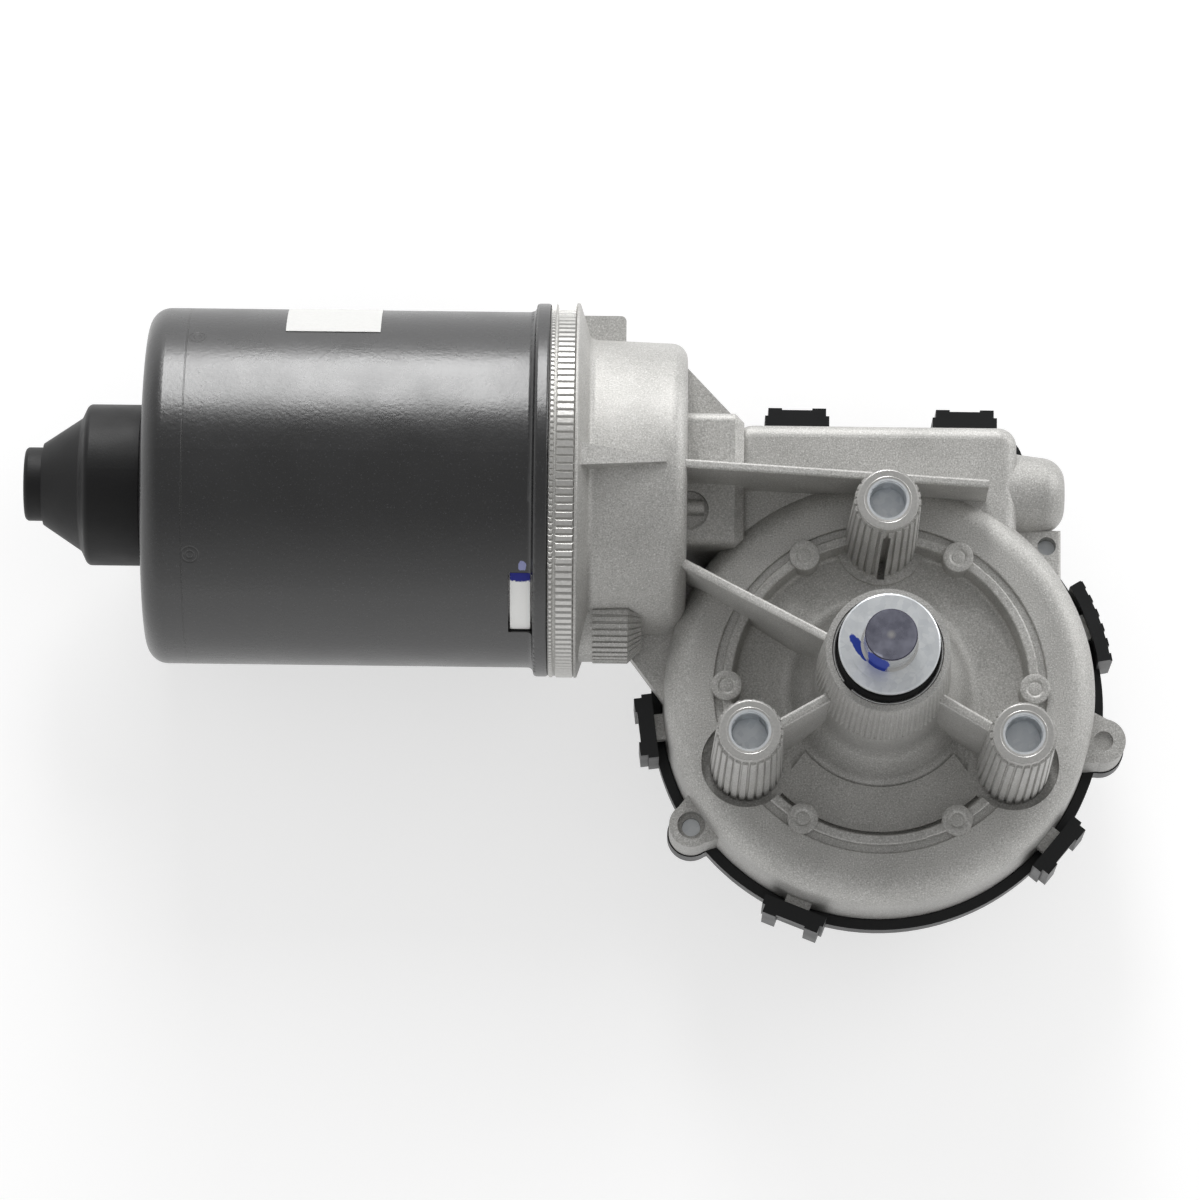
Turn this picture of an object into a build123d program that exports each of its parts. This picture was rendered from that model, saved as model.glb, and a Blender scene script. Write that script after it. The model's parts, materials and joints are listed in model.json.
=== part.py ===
from build123d import *

import os
from math import cos, pi, radians, sin, sqrt, tan

os.makedirs("parts", exist_ok=True)

# Frame
# The output axis is Z. The origin lies on it, in the plane of the three posts' seating faces.
# +X runs along the motor, from the rubber cap to the gear end. +Y is the worm's side.

# Mounting posts, with steel inserts for M8 bolts
post_circle = 66.0
post_count = 3
post_first_angle = 90.0
post_height = 45.0
post_tip_r = 6.5
post_foot_r = 7.3
post_ridges = 26
ridge_height = 0.55
post_collar = 2.4
thread_r = 4.0
thread_depth = 7.0
insert_neck_r = 4.7
insert_neck = 1.2
insert_body_r = 5.2
insert_length = 11.0
mouth_chamfer = 0.35

# Worm drive
worm_y = 45.0
worm_z = -52.0
wheel_teeth = 60
worm_pitch_r = 5.5
tooth_share = 0.42
addendum = 1.2
dedendum = 1.5
flank_angle = 18.0
wheel_face = 8.8
worm_turns = 8

# Output shaft
shaft_r = 6.0
shaft_end_r = 5.45
shaft_end_z = 21.8
shaft_end_length = 10.0
shaft_chamfer = 0.25
hub_seat_r = 6.6
washer_r = 10.6
washer_step_r = 8.4
washer_thickness = 1.4

# Gear housing, pressure die cast
drum_r = 46.8
drum_draft = 0.6
drum_wall = 3.2
shoulder_z = -40.0
drum_corner = 6.0
drum_back_z = -64.5
ceiling = 2.4
ring_r = 33.0
ring_width = 2.1
ring_rise = 0.5
shelf_width = 1.6
shelf_drop = 0.9
pip_count = 6
pip_r = 3.3
pip_rise = 0.7
boss_tip_r = 13.1
boss_mid_r = 14.4
boss_flare_r = 20.0
boss_rim_z = 4.5
boss_ridged = 27.0
boss_ridges = 72
boss_ridge = 0.3
flare_height = 9.0
tunnel_left = -31.7
tunnel_right = 29.3
tunnel_top = 58.4
tunnel_front_z = -42.5
tunnel_corner = 3.0
worm_bore_r = 7.8
thrust_boss_r = 9.4
thrust_boss_draft = 1.8
thrust_boss_end = 40.0
bearing_block_r = 14.4
neck_end = -42.0
neck_r = 32.8
neck_draft = 0.8
neck_wall = 3.3
neck_corner = 3.5
flange_r = 40.7
flange_face = -71.6
flange_thickness = 6.2
band_seat = 5.6
band_depth = 0.4
web_thickness = 5.0
fin_thickness = 1.9
ear_circle = 49.3
ear_r = 4.8
ear_front_z = -50.0
ear_back_z = -62.0

# Motor can, deep drawn steel
can_r = 38.6
can_wall = 2.6
can_end = -159.6
can_corner = 4.5
can_dome = 1.5
rim_r = 40.5
rim_thickness = 3.2
pocket_r = 11.0
pocket_end = -170.7
pocket_wall = 2.0

# Rubber end cap
cap_r = 17.5
cap_shoulder = -171.7
cap_cone_r = 14.5
cap_tip_r = 8.0
cap_neck = -181.5
cap_end = -185.5

# Window in the can, where a boss of the housing's spigot shows
window_start = -79.9
window_length = 5.1
window_angles = (129.0, 154.0)
window_gap = 0.4
window_boss_r = 38.0

# Magnets and armature
magnet_count = 4
magnet_span = 68.0
magnet_thickness = 6.6
magnet_start = -149.0
magnet_length = 62.0
air_gap = 0.9
core_start = -146.0
core_length = 56.0
slot_count = 12
slot_mouth = 2.6
tooth_tip = 2.4
slot_floor_r = 13.0
winding_overhang = 6.5
motor_shaft_r = 4.0
core_seat_r = 5.0

# Commutator and brushes
commutator_r = 13.0
commutator_start = -80.0
commutator_length = 16.5
commutator_depth = 4.2
bar_gap = 0.7
brush_width = 6.0
brush_thickness = 5.0
brush_length = 12.0
brush_x = -67.4
brush_angles = (100.0, 190.0, 310.0)
card_x = -60.0
card_thickness = 2.4
card_hole_r = 16.0

# Bearings
bearing_r = 11.0
bearing_width = 7.0
bearing_start = -46.0
ball_count = 7
ball_r = 1.98
race_wall = 2.0
front_bush_r = 6.0
front_bush_start = 25.5
front_bush_length = 9.0
front_journal_r = 3.5
boss_bush_r = 8.5
boss_bush_length = 11.0

# Back cover, moulded plastic
cover_back_z = -68.0
cover_skirt = 2.2
cover_lap = 2.5
clip_width = 14.0
clip_thickness = 1.9
clip_front_z = -53.0
clip_rib = 1.7
clip_rib_width = 3.0
clip_rib_place = 4.8
clip_lip = 2.2
strap_gap = 1.4
strap_thickness = 2.7
strap_tooth = 0.5
gasket_thickness = 1.0
shroud_x = 12.0
shroud_y = -17.0
shroud_length = 36.0
shroud_width = 17.0
shroud_wall = 2.0
shroud_depth = 17.0
pin_count = 5
pin_pitch = 6.0

# Screws and small hardware
screw_r = 1.95
screw_head_r = 3.6
screw_head = 2.4
retainer_circle = 13.3
retainer_screw_r = 1.4
hub_hex_r = 11.0
wheel_pad_r = 14.0
wheel_web = 3.2
clip_gap = 1.8
pin_width = 2.8
pin_thickness = 0.8

# Fits
running = 0.04
slip = 0.15
play = 0.3

# Worked out from the sizes above
floor_z = -post_height
cavity_r = drum_r - drum_wall
cavity_top_z = floor_z - ceiling
wheel_pitch_r = worm_y - worm_pitch_r
axial_pitch = 2 * pi * wheel_pitch_r / wheel_teeth
lead_slope = axial_pitch / (2 * pi * worm_pitch_r)
worm_root_r = worm_pitch_r - dedendum
wheel_tip_r = wheel_pitch_r + addendum
wheel_root_r = wheel_pitch_r - dedendum
wheel_top_z = cavity_top_z - play
wheel_back_z = wheel_top_z - wheel_face
cover_inner_z = drum_back_z - gasket_thickness
can_bore_r = can_r - can_wall
magnet_outer_r = can_bore_r - running
magnet_inner_r = magnet_outer_r - magnet_thickness
core_r = magnet_inner_r - air_gap
core_end = core_start + core_length
neck_bore_r = neck_r - neck_wall
post_angles = [post_first_angle + 360 / post_count * i for i in range(post_count)]
post_spots = [(post_circle / 2 * cos(radians(a)), post_circle / 2 * sin(radians(a))) for a in post_angles]


def across_motor(x):
    """Plane square to the motor axis at x. Its own x is +Y and its own y is +Z."""
    return Plane(origin=(x, worm_y, worm_z), x_dir=(0, 1, 0), z_dir=(1, 0, 0))


def level(z):
    """Plane square to the output axis at height z."""
    return Plane.XY.offset(z)


def ridged(count, crest_r, root_r, share=0.6, turn=0.0):
    """Corner points of a fluted round: raised ridges that take a share of each step."""
    step = 2 * pi / count
    points = []
    for i in range(count):
        middle = radians(turn) + i * step
        for side, r in ((-0.5, root_r), (-0.5 * share, crest_r), (0.5 * share, crest_r), (0.5, root_r)):
            angle = middle + side * step * (1 if r == crest_r else 0.8)
            points.append((r * cos(angle), r * sin(angle)))
    return points


def window_sector(inner_r, outer_r, gap):
    """Ring sector of the can's window, drawn in by a gap at both ends."""
    first, last = (radians(a) for a in window_angles)
    first += gap / can_r
    last -= gap / can_r
    reach = 2 * can_r
    with BuildSketch() as sector:
        Circle(outer_r)
        Circle(inner_r, mode=Mode.SUBTRACT)
        Polygon(
            (0, 0),
            (reach * cos(first), reach * sin(first)),
            (reach * cos(last), reach * sin(last)),
            align=None,
            mode=Mode.INTERSECT,
        )
    return sector.sketch


motor_axis = Axis((0, worm_y, worm_z), (1, 0, 0))
along_motor = Plane(origin=(0, worm_y, worm_z), x_dir=(1, 0, 0), z_dir=(0, -1, 0))
nodes = {}

# Motor can
can_flat_r = 2 * pocket_r - 2.0
with BuildPart() as motor_can:
    with BuildSketch(along_motor):
        with BuildLine():
            FilletPolyline(
                (flange_face, 0),
                (flange_face, rim_r),
                (flange_face - rim_thickness, rim_r),
                (flange_face - rim_thickness, can_r),
                (can_end + can_dome, can_r),
                (can_end, can_flat_r),
                (can_end, pocket_r),
                (pocket_end, pocket_r),
                (pocket_end, 0),
                radius=[0, 0.6, 0.8, 1.2, can_corner, 3.0, 1.5, 2.0, 0],
                close=True,
            )
        make_face()
    revolve(axis=motor_axis)
    with BuildSketch(along_motor):
        with BuildLine():
            FilletPolyline(
                (flange_face, 0),
                (flange_face, can_bore_r),
                (can_end + can_wall + can_dome, can_bore_r),
                (can_end + can_wall, can_flat_r),
                (can_end + can_wall, pocket_r - pocket_wall),
                (pocket_end + pocket_wall, pocket_r - pocket_wall),
                (pocket_end + pocket_wall, 0),
                radius=[0, 0, can_corner - can_wall, 0, 0.8, 0, 0],
                close=True,
            )
        make_face()
    revolve(axis=motor_axis, mode=Mode.SUBTRACT)
    with BuildSketch(across_motor(window_start)):
        add(window_sector(can_bore_r - 1, can_r + 1, 0))
    extrude(amount=window_length, mode=Mode.SUBTRACT)
nodes["motor_can"] = motor_can

# Rubber end cap over the can's bearing pocket
with BuildPart() as end_cap:
    with BuildSketch(along_motor):
        with BuildLine():
            FilletPolyline(
                (can_end, 0),
                (can_end, cap_r),
                (cap_shoulder, cap_r),
                (cap_shoulder - 1.4, cap_cone_r),
                (cap_neck, cap_tip_r + 0.9),
                (cap_neck, cap_tip_r),
                (cap_end, cap_tip_r),
                (cap_end, 0),
                radius=[0, 0.5, 1.4, 1.2, 0, 0.3, 1.0, 0],
                close=True,
            )
        make_face()
    revolve(axis=motor_axis)
    with BuildSketch(along_motor):
        with BuildLine():
            Polyline(
                (can_end, 0),
                (can_end, pocket_r + 1.6),
                (can_end - 1.6, pocket_r + slip),
                (pocket_end - slip, pocket_r + slip),
                (cap_neck + 1.0, cap_tip_r - 2.5),
                (cap_end + 2.2, cap_tip_r - 2.5),
                (cap_end + 2.2, 0),
                close=True,
            )
        make_face()
    revolve(axis=motor_axis, mode=Mode.SUBTRACT)
nodes["end_cap"] = end_cap

# Four ferrite magnets, and the spring clips that push them apart
with BuildPart() as magnets:
    with BuildSketch(across_motor(magnet_start)):
        Circle(magnet_outer_r)
        Circle(magnet_inner_r, mode=Mode.SUBTRACT)
        gap_angle = 360 / magnet_count - magnet_span
        gap_width = 2 * magnet_outer_r * sin(radians(gap_angle / 2))
        with PolarLocations(0, magnet_count, start_angle=360 / magnet_count / 2):
            Rectangle(magnet_outer_r + 1, gap_width, align=(Align.MIN, Align.CENTER), mode=Mode.SUBTRACT)
    extrude(amount=magnet_length)
nodes["magnets"] = magnets

clip_leaf = 0.8
clip_reach = gap_width / 2 - running - 0.1
with BuildPart() as magnet_clips:
    with BuildSketch(across_motor(magnet_start + 6)):
        with PolarLocations(0, magnet_count, start_angle=360 / magnet_count / 2):
            with Locations((magnet_outer_r - magnet_thickness + 1.0, 0)):
                Rectangle(magnet_thickness - 1.6, 2 * clip_reach, align=(Align.MIN, Align.CENTER))
            with Locations((magnet_outer_r - magnet_thickness, 0)):
                Rectangle(
                    magnet_thickness - 0.6 - clip_leaf,
                    2 * (clip_reach - clip_leaf),
                    align=(Align.MIN, Align.CENTER),
                    mode=Mode.SUBTRACT,
                )
    extrude(amount=magnet_length - 12)
nodes["magnet_clips"] = magnet_clips

# Rear bush: sintered ball, seated in the pocket and held by a toothed spring washer
rear_bush_x = pocket_end + 7.6
rear_bush_half = 4.5
with BuildPart() as rear_bush:
    with BuildSketch(along_motor):
        with BuildLine():
            crown_r = pocket_r - pocket_wall - running
            side_r = crown_r - 1.2
            Polyline(
                (rear_bush_x - rear_bush_half, side_r),
                (rear_bush_x - rear_bush_half, motor_shaft_r + running),
                (rear_bush_x + rear_bush_half, motor_shaft_r + running),
                (rear_bush_x + rear_bush_half, side_r),
            )
            ThreePointArc(
                (rear_bush_x + rear_bush_half, side_r),
                (rear_bush_x, crown_r),
                (rear_bush_x - rear_bush_half, side_r),
            )
        make_face()
    revolve(axis=motor_axis)
nodes["rear_bush"] = rear_bush

with BuildPart() as bush_washer:
    with BuildSketch(across_motor(rear_bush_x + rear_bush_half)):
        Circle(crown_r)
        Circle(motor_shaft_r + 2.0, mode=Mode.SUBTRACT)
        with PolarLocations(motor_shaft_r + 2.0, 8):
            Rectangle(2.4, 1.2, mode=Mode.SUBTRACT)
    extrude(amount=0.8)
nodes["bush_washer"] = bush_washer

# Armature shaft: rear journal, core seat, bearing seat, rolled worm and front journal
shaft_start = pocket_end + pocket_wall + 0.6
front_bush_end = front_bush_start + front_bush_length
shaft_finish = front_bush_end + 0.4
bearing_end = bearing_start + bearing_width
worm_length = worm_turns * axial_pitch
worm_start = -(worm_turns / 2 + 0.5) * axial_pitch
tooth_at_pitch = tooth_share * axial_pitch
flank = tan(radians(flank_angle))
thread_root = worm_root_r - 0.4
tip_half = tooth_at_pitch / 2 - addendum * flank
root_half = tooth_at_pitch / 2 + (worm_pitch_r - thread_root) * flank
with BuildPart() as worm_thread:
    with BuildLine() as worm_line:
        Helix(axial_pitch, worm_length, worm_pitch_r)
    with BuildSketch(Plane(origin=worm_line.line @ 0, x_dir=(1, 0, 0), z_dir=worm_line.line % 0)):
        Polygon(
            (thread_root - worm_pitch_r, -root_half),
            (addendum, -tip_half),
            (addendum, tip_half),
            (thread_root - worm_pitch_r, root_half),
            align=None,
        )
    sweep(path=worm_line.line, is_frenet=True)

with BuildPart() as armature_shaft:
    with BuildSketch(along_motor):
        with BuildLine():
            Polyline(
                (shaft_start, 0),
                (shaft_start, motor_shaft_r - 0.5),
                (shaft_start + 0.5, motor_shaft_r),
                (core_start - 8, motor_shaft_r),
                (core_start - 8, core_seat_r),
                (commutator_start + commutator_length, core_seat_r),
                (commutator_start + commutator_length, motor_shaft_r),
                (front_bush_start - 2, motor_shaft_r),
                (front_bush_start - 2, front_journal_r),
                (shaft_finish - 0.4, front_journal_r),
                (shaft_finish, front_journal_r - 0.6),
                (shaft_finish, 0),
                close=True,
            )
        make_face()
    revolve(axis=motor_axis)
    with Locations(across_motor(worm_start)):
        add(worm_thread.part)
nodes["armature_shaft"] = armature_shaft

# Laminated core with twelve slots, and the copper that fills them
slot_root_half = 2.0
slot_rim_r = core_r - tooth_tip
slot_rim_half = slot_rim_r * tan(radians(180 / slot_count)) - 1.9


def slot_outline(gap):
    """Corner points of one slot, drawn back from the iron by a gap."""
    low = slot_floor_r + gap
    high = slot_rim_r - gap
    root_half = slot_root_half - gap
    rim_half = slot_rim_half - gap
    return [(low, -root_half), (high, -rim_half), (high, rim_half), (low, root_half)]


with BuildPart() as armature_core:
    with BuildSketch(across_motor(core_start)):
        Circle(core_r)
        Circle(core_seat_r, mode=Mode.SUBTRACT)
        with PolarLocations(0, slot_count):
            Polygon(*slot_outline(0), align=None, mode=Mode.SUBTRACT)
            with Locations((slot_rim_r - 0.5, 0)):
                Rectangle(tooth_tip + 2, slot_mouth, align=(Align.MIN, Align.CENTER), mode=Mode.SUBTRACT)
    extrude(amount=core_length)
nodes["armature_core"] = armature_core

end_turn_r = slot_rim_r - 0.6
with BuildPart() as armature_winding:
    with BuildSketch(across_motor(core_start - 1.0)):
        with PolarLocations(0, slot_count):
            Polygon(*slot_outline(slip), align=None)
    extrude(amount=core_length + 2.0)
    for low in (core_start - winding_overhang, core_end + play):
        with BuildSketch(along_motor):
            with Locations((low, core_seat_r + 3.0)):
                RectangleRounded(
                    winding_overhang - play, end_turn_r - core_seat_r - 3.0, 2.4, align=(Align.MIN, Align.MIN)
                )
        revolve(axis=motor_axis)
nodes["armature_winding"] = armature_winding

# Commutator: copper bars with risers, on a moulded hub
bar_inner_r = commutator_r - commutator_depth
with BuildPart() as commutator_bars:
    with BuildSketch(along_motor):
        with BuildLine():
            Polyline(
                (commutator_start, bar_inner_r),
                (commutator_start, commutator_r + 1.6),
                (commutator_start + 1.8, commutator_r + 1.6),
                (commutator_start + 1.8, commutator_r),
                (commutator_start + commutator_length, commutator_r),
                (commutator_start + commutator_length, bar_inner_r),
                close=True,
            )
        make_face()
    revolve(axis=motor_axis)
    with BuildSketch(across_motor(commutator_start)):
        with PolarLocations(bar_inner_r - 1, slot_count):
            Rectangle(commutator_depth + 4, bar_gap, align=(Align.MIN, Align.CENTER))
    extrude(amount=commutator_length, mode=Mode.SUBTRACT)
nodes["commutator_bars"] = commutator_bars

with BuildPart() as commutator_hub:
    with BuildSketch(across_motor(commutator_start)):
        Circle(bar_inner_r)
        Circle(core_seat_r, mode=Mode.SUBTRACT)
    extrude(amount=commutator_length)
nodes["commutator_hub"] = commutator_hub

# Ball bearing at the neck
race_inner_r = motor_shaft_r + race_wall
race_outer_r = bearing_r - race_wall
ball_circle_r = (race_inner_r + race_outer_r) / 2
bearing_middle = bearing_start + bearing_width / 2
with BuildPart() as bearing_inner_race:
    with BuildSketch(along_motor):
        with Locations((bearing_start, motor_shaft_r)):
            Rectangle(bearing_width, race_wall, align=(Align.MIN, Align.MIN))
        with Locations((bearing_middle, ball_circle_r)):
            Circle(ball_r + running, mode=Mode.SUBTRACT)
    revolve(axis=motor_axis)
nodes["bearing_inner_race"] = bearing_inner_race

with BuildPart() as bearing_outer_race:
    with BuildSketch(along_motor):
        with Locations((bearing_start, race_outer_r)):
            Rectangle(bearing_width, race_wall, align=(Align.MIN, Align.MIN))
        with Locations((bearing_middle, ball_circle_r)):
            Circle(ball_r + running, mode=Mode.SUBTRACT)
    revolve(axis=motor_axis)
nodes["bearing_outer_race"] = bearing_outer_race

with BuildPart() as bearing_balls:
    with Locations(across_motor(bearing_middle)):
        with PolarLocations(ball_circle_r, ball_count):
            Sphere(ball_r)
nodes["bearing_balls"] = bearing_balls

cage_half = ball_r + 0.7
with BuildPart() as bearing_cage:
    with BuildSketch(across_motor(bearing_middle - cage_half)):
        Circle(ball_circle_r + 0.5)
        Circle(ball_circle_r - 0.5, mode=Mode.SUBTRACT)
    extrude(amount=2 * cage_half)
    for i in range(ball_count):
        out = 2 * pi * i / ball_count
        outward = Plane(origin=(bearing_middle, worm_y, worm_z), x_dir=(1, 0, 0), z_dir=(0, cos(out), sin(out)))
        with BuildSketch(outward):
            Circle(ball_r + running)
        extrude(amount=race_outer_r, mode=Mode.SUBTRACT)
nodes["bearing_cage"] = bearing_cage

# Gear housing. Each cast form is made apart, then they are joined and hollowed.
ring_out_r = ring_r + ring_width / 2
ring_in_r = ring_r - ring_width / 2
ring_top_z = shoulder_z + ring_rise
shelf_z = shoulder_z - shelf_drop
dish_r = ring_in_r - 0.8
ridge_low_z = boss_rim_z - boss_ridged
with BuildPart() as drum:
    with BuildSketch(Plane.XZ):
        with BuildLine():
            FilletPolyline(
                (0, drum_back_z),
                (drum_r, drum_back_z),
                (drum_r - drum_draft, shoulder_z),
                (ring_out_r + shelf_width, shoulder_z),
                (ring_out_r + shelf_width, shelf_z),
                (ring_out_r, shelf_z),
                (ring_out_r, ring_top_z),
                (ring_in_r, ring_top_z),
                (dish_r, floor_z),
                (boss_flare_r, floor_z),
                (boss_mid_r, floor_z + flare_height),
                (boss_mid_r - 0.2, ridge_low_z),
                (0, ridge_low_z),
                radius=[0, 0.6, drum_corner, 0.4, 0, 0, 0.4, 0.4, 1.0, 4.0, 8.0, 0, 0],
                close=True,
            )
        make_face()
    revolve(axis=Axis.Z)

# Output boss above the flare, fluted, with a plain rim
with BuildPart() as output_boss:
    for z, crest in ((ridge_low_z - 0.5, boss_mid_r), (boss_rim_z - 0.6, boss_tip_r)):
        with BuildSketch(level(z)):
            Polygon(*ridged(boss_ridges, crest, crest - boss_ridge, share=0.3), align=None)
    loft(ruled=True)
    with BuildSketch(level(boss_rim_z - 0.6)):
        Circle(boss_tip_r - 0.1)
    extrude(amount=0.6)

# Mounting posts: fluted, drafted, each on a low round pad
pad_r = post_foot_r + 2.4
pad_z = floor_z + 1.0
with BuildPart() as posts:
    for spot in post_spots:
        for z, core in ((floor_z, post_foot_r), (-post_collar, post_tip_r)):
            with BuildSketch(level(z)):
                with Locations(spot):
                    Polygon(*ridged(post_ridges, core + ridge_height, core), align=None)
        loft(ruled=True)
        with BuildSketch(level(-post_collar)):
            with Locations(spot):
                Circle(post_tip_r)
        extrude(amount=post_collar)

# Six small pips on the ring, each with a ring mark
pip_top_z = ring_top_z + pip_rise
with BuildPart() as pips:
    with BuildSketch(level(floor_z)):
        with PolarLocations(ring_r, pip_count):
            Circle(pip_r)
    extrude(amount=pip_top_z - floor_z)
    with BuildSketch(level(pip_top_z)):
        with PolarLocations(ring_r, pip_count):
            Circle(pip_r * 0.5)
            Circle(pip_r * 0.25, mode=Mode.SUBTRACT)
    extrude(amount=-0.35, mode=Mode.SUBTRACT)

# Raised sector of the dish floor between the lower posts
sector_near = 5.7
sector_far = 56.4
with BuildPart() as sector_pad:
    with BuildSketch(level(floor_z)):
        Circle(dish_r - 0.6)
        Circle(boss_flare_r + 0.8, mode=Mode.SUBTRACT)
        Polygon(
            (sector_near, 0),
            (-sector_near, 0),
            (-sector_far, -post_circle),
            (sector_far, -post_circle),
            align=None,
            mode=Mode.INTERSECT,
        )
    extrude(amount=0.9)

# Worm tunnel, with rounded corners and front edges
tunnel_middle = (tunnel_left + tunnel_right) / 2
with BuildPart() as tunnel:
    with BuildSketch(level(drum_back_z)):
        with Locations((tunnel_middle, tunnel_top)):
            Rectangle(tunnel_right - tunnel_left, tunnel_top * 0.6, align=(Align.CENTER, Align.MAX))
        fillet(vertices().group_by(Axis.Y)[-1], tunnel_corner + 1.0)
    extrude(amount=tunnel_front_z - drum_back_z)
    fillet(faces().sort_by(Axis.Z)[-1].edges(), tunnel_corner)
    with BuildSketch(level(floor_z)):
        Circle(ring_r)
    extrude(amount=tunnel_front_z - floor_z + 1, mode=Mode.SUBTRACT)

# Domed boss at the tunnel's end, round the worm's front bush
with BuildPart() as thrust_boss:
    with BuildSketch(along_motor):
        with BuildLine():
            FilletPolyline(
                (tunnel_right - 3, 0),
                (tunnel_right - 3, thrust_boss_r),
                (thrust_boss_end, thrust_boss_r - thrust_boss_draft),
                (thrust_boss_end, 0),
                radius=[0, 0, 5.2, 0],
                close=True,
            )
        make_face()
    revolve(axis=motor_axis)

# Square block round the ball bearing, between the neck and the tunnel
block_front_z = worm_z + bearing_block_r
block_back_z = drum_back_z
stud_spot = (neck_end + 0.5, 38.0)
stud_end = (stud_spot[1] + 0.8, block_front_z - 1.1)
with BuildPart() as bearing_block:
    with BuildSketch(across_motor(neck_end - 1)):
        with Locations((0, (block_front_z + block_back_z) / 2 - worm_z)):
            RectangleRounded(2 * bearing_block_r + 0.6, block_front_z - block_back_z, 2.0)
    extrude(amount=tunnel_left - neck_end + 3)
    chamfer(faces().sort_by(Axis.X)[-1].edges(), 2.0)
    with BuildSketch(level(block_front_z)):
        with Locations(stud_spot):
            Circle(4.3)
    extrude(amount=-1.5, mode=Mode.SUBTRACT)
    with BuildSketch(Plane(origin=(neck_end, *stud_end), x_dir=(0, 1, 0), z_dir=(1, 0, 0))):
        Circle(1.7)
    extrude(amount=3.7)

# Neck and flange that carry the motor can
with BuildPart() as neck:
    with BuildSketch(along_motor):
        with BuildLine():
            FilletPolyline(
                (flange_face, 0),
                (flange_face, flange_r - band_depth),
                (flange_face + band_seat, flange_r - band_depth),
                (flange_face + band_seat, flange_r),
                (flange_face + flange_thickness, flange_r),
                (flange_face + flange_thickness + 1.6, neck_r + 3.0),
                (flange_face + flange_thickness + 2.5, neck_r),
                (neck_end, neck_r - neck_draft),
                (neck_end, 0),
                radius=[0, 0.2, 0, 0.1, 0.4, 1.0, 1.5, neck_corner, 0],
                close=True,
            )
        make_face()
    revolve(axis=motor_axis)

# Fluted round boss beside the neck, its end domed
side_boss_r = 9.3
side_boss_y = -29.8
side_boss_z = 6.0
side_boss_x = (flange_face + 9.7, flange_face + 17.2, flange_face + 20.2)
side_ridges = 40
side_ridge = 0.45
side_dome = 3.0
with BuildPart() as side_boss:
    with BuildSketch(across_motor(flange_face + 4)):
        with Locations((side_boss_y, side_boss_z)):
            Circle(side_boss_r - 0.3)
    extrude(amount=side_boss_x[0] - flange_face - 4)
    for first, crest, last, end_crest in (
        (side_boss_x[0], side_boss_r, side_boss_x[1], side_boss_r),
        (side_boss_x[1], side_boss_r, side_boss_x[2], side_boss_r - side_dome),
    ):
        for x, r in ((first, crest), (last, end_crest)):
            with BuildSketch(across_motor(x)):
                with Locations((side_boss_y, side_boss_z)):
                    Polygon(*ridged(side_ridges, r, r - side_ridge), align=None)
        loft(ruled=True)


def upright_rib(start, end, start_top, end_top, foot, thickness):
    """Upright wall from start to end in plan, with a sloping top edge that is rounded."""
    run = Vector(*end) - Vector(*start)
    side = Plane(origin=(start[0], start[1], 0), x_dir=(run.X, run.Y, 0), z_dir=(run.Y, -run.X, 0))
    with BuildPart() as rib:
        with BuildSketch(side):
            Polygon((0, foot), (run.length, foot), (run.length, end_top), (0, start_top), align=None)
        extrude(amount=thickness / 2, both=True)
        fillet(faces().sort_by(Axis.Z)[-1].edges().sort_by(SortBy.LENGTH)[-2:], thickness * 0.3)
    return rib.part


# Ribs: the long fin over the tunnel, its tie to the upper post, the neck's rib to the output
# boss, and the short ribs from that boss to the lower posts
fin_start = (neck_end - 2, worm_y)
fin_end = (22.5, worm_y - 2.6)
fin_tops = (-21.5, -27.5)
tie_start = (0, post_circle / 2 + post_tip_r - 1)
tie_end = (0, worm_y - 1)
tie_tops = (-23.0, -25.0)
neck_rib_start = (neck_end - 1.6, 25.4)
neck_rib_end = (-11.6, 5.4)
neck_rib_tops = (-29.5, -12.0)
short_rib_top = -13.0
rib_foot = floor_z - 0.5
ribs = [
    upright_rib(fin_start, fin_end, *fin_tops, floor_z, fin_thickness),
    upright_rib(tie_start, tie_end, *tie_tops, floor_z, fin_thickness),
    upright_rib(neck_rib_start, neck_rib_end, *neck_rib_tops, rib_foot, fin_thickness),
]
for angle in post_angles[1:]:
    along = Vector(cos(radians(angle)), sin(radians(angle)))
    near = along * (boss_mid_r - 2)
    far = along * (post_circle / 2 - post_tip_r + 1)
    ends = ((near.X, near.Y), (far.X, far.Y))
    ribs.append(upright_rib(*ends, short_rib_top, short_rib_top, rib_foot, fin_thickness + 0.3))

# Flat webs between the neck and the gearbox, above and below, each as corners in plan
upper_web = [
    (neck_end - 3, 72.5),
    (neck_end, 72.0),
    (tunnel_left + 3, tunnel_top - 0.5),
    (tunnel_left + 3, tunnel_top - 4),
    (neck_end - 3, tunnel_top - 4),
]
lower_web = [
    (neck_end - 13, 18.0),
    (neck_end - 12.6, 9.0),
    (neck_end - 4.2, -2.2),
    (neck_end + 3, 4.0),
    (neck_end + 3, 18.0),
]
with BuildPart() as webs:
    with BuildSketch(level(worm_z - web_thickness / 2)):
        for corners in (upper_web, lower_web):
            Polygon(*corners, align=None)
    extrude(amount=web_thickness)

# Gusset under the flange: a spike that runs out along the neck's front. Each end: x, width, rise
flange_end = flange_face + flange_thickness
spike_ends = ((flange_end, 5.0, 6.0), (neck_end - 4.5, 0.8, 0.3))
with BuildPart() as spike:
    for x, width, rise in spike_ends:
        with BuildSketch(across_motor(x)):
            with Locations((0, neck_r - 2)):
                Rectangle(width, rise + 2, align=(Align.CENTER, Align.MIN))
    loft(ruled=True)

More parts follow.
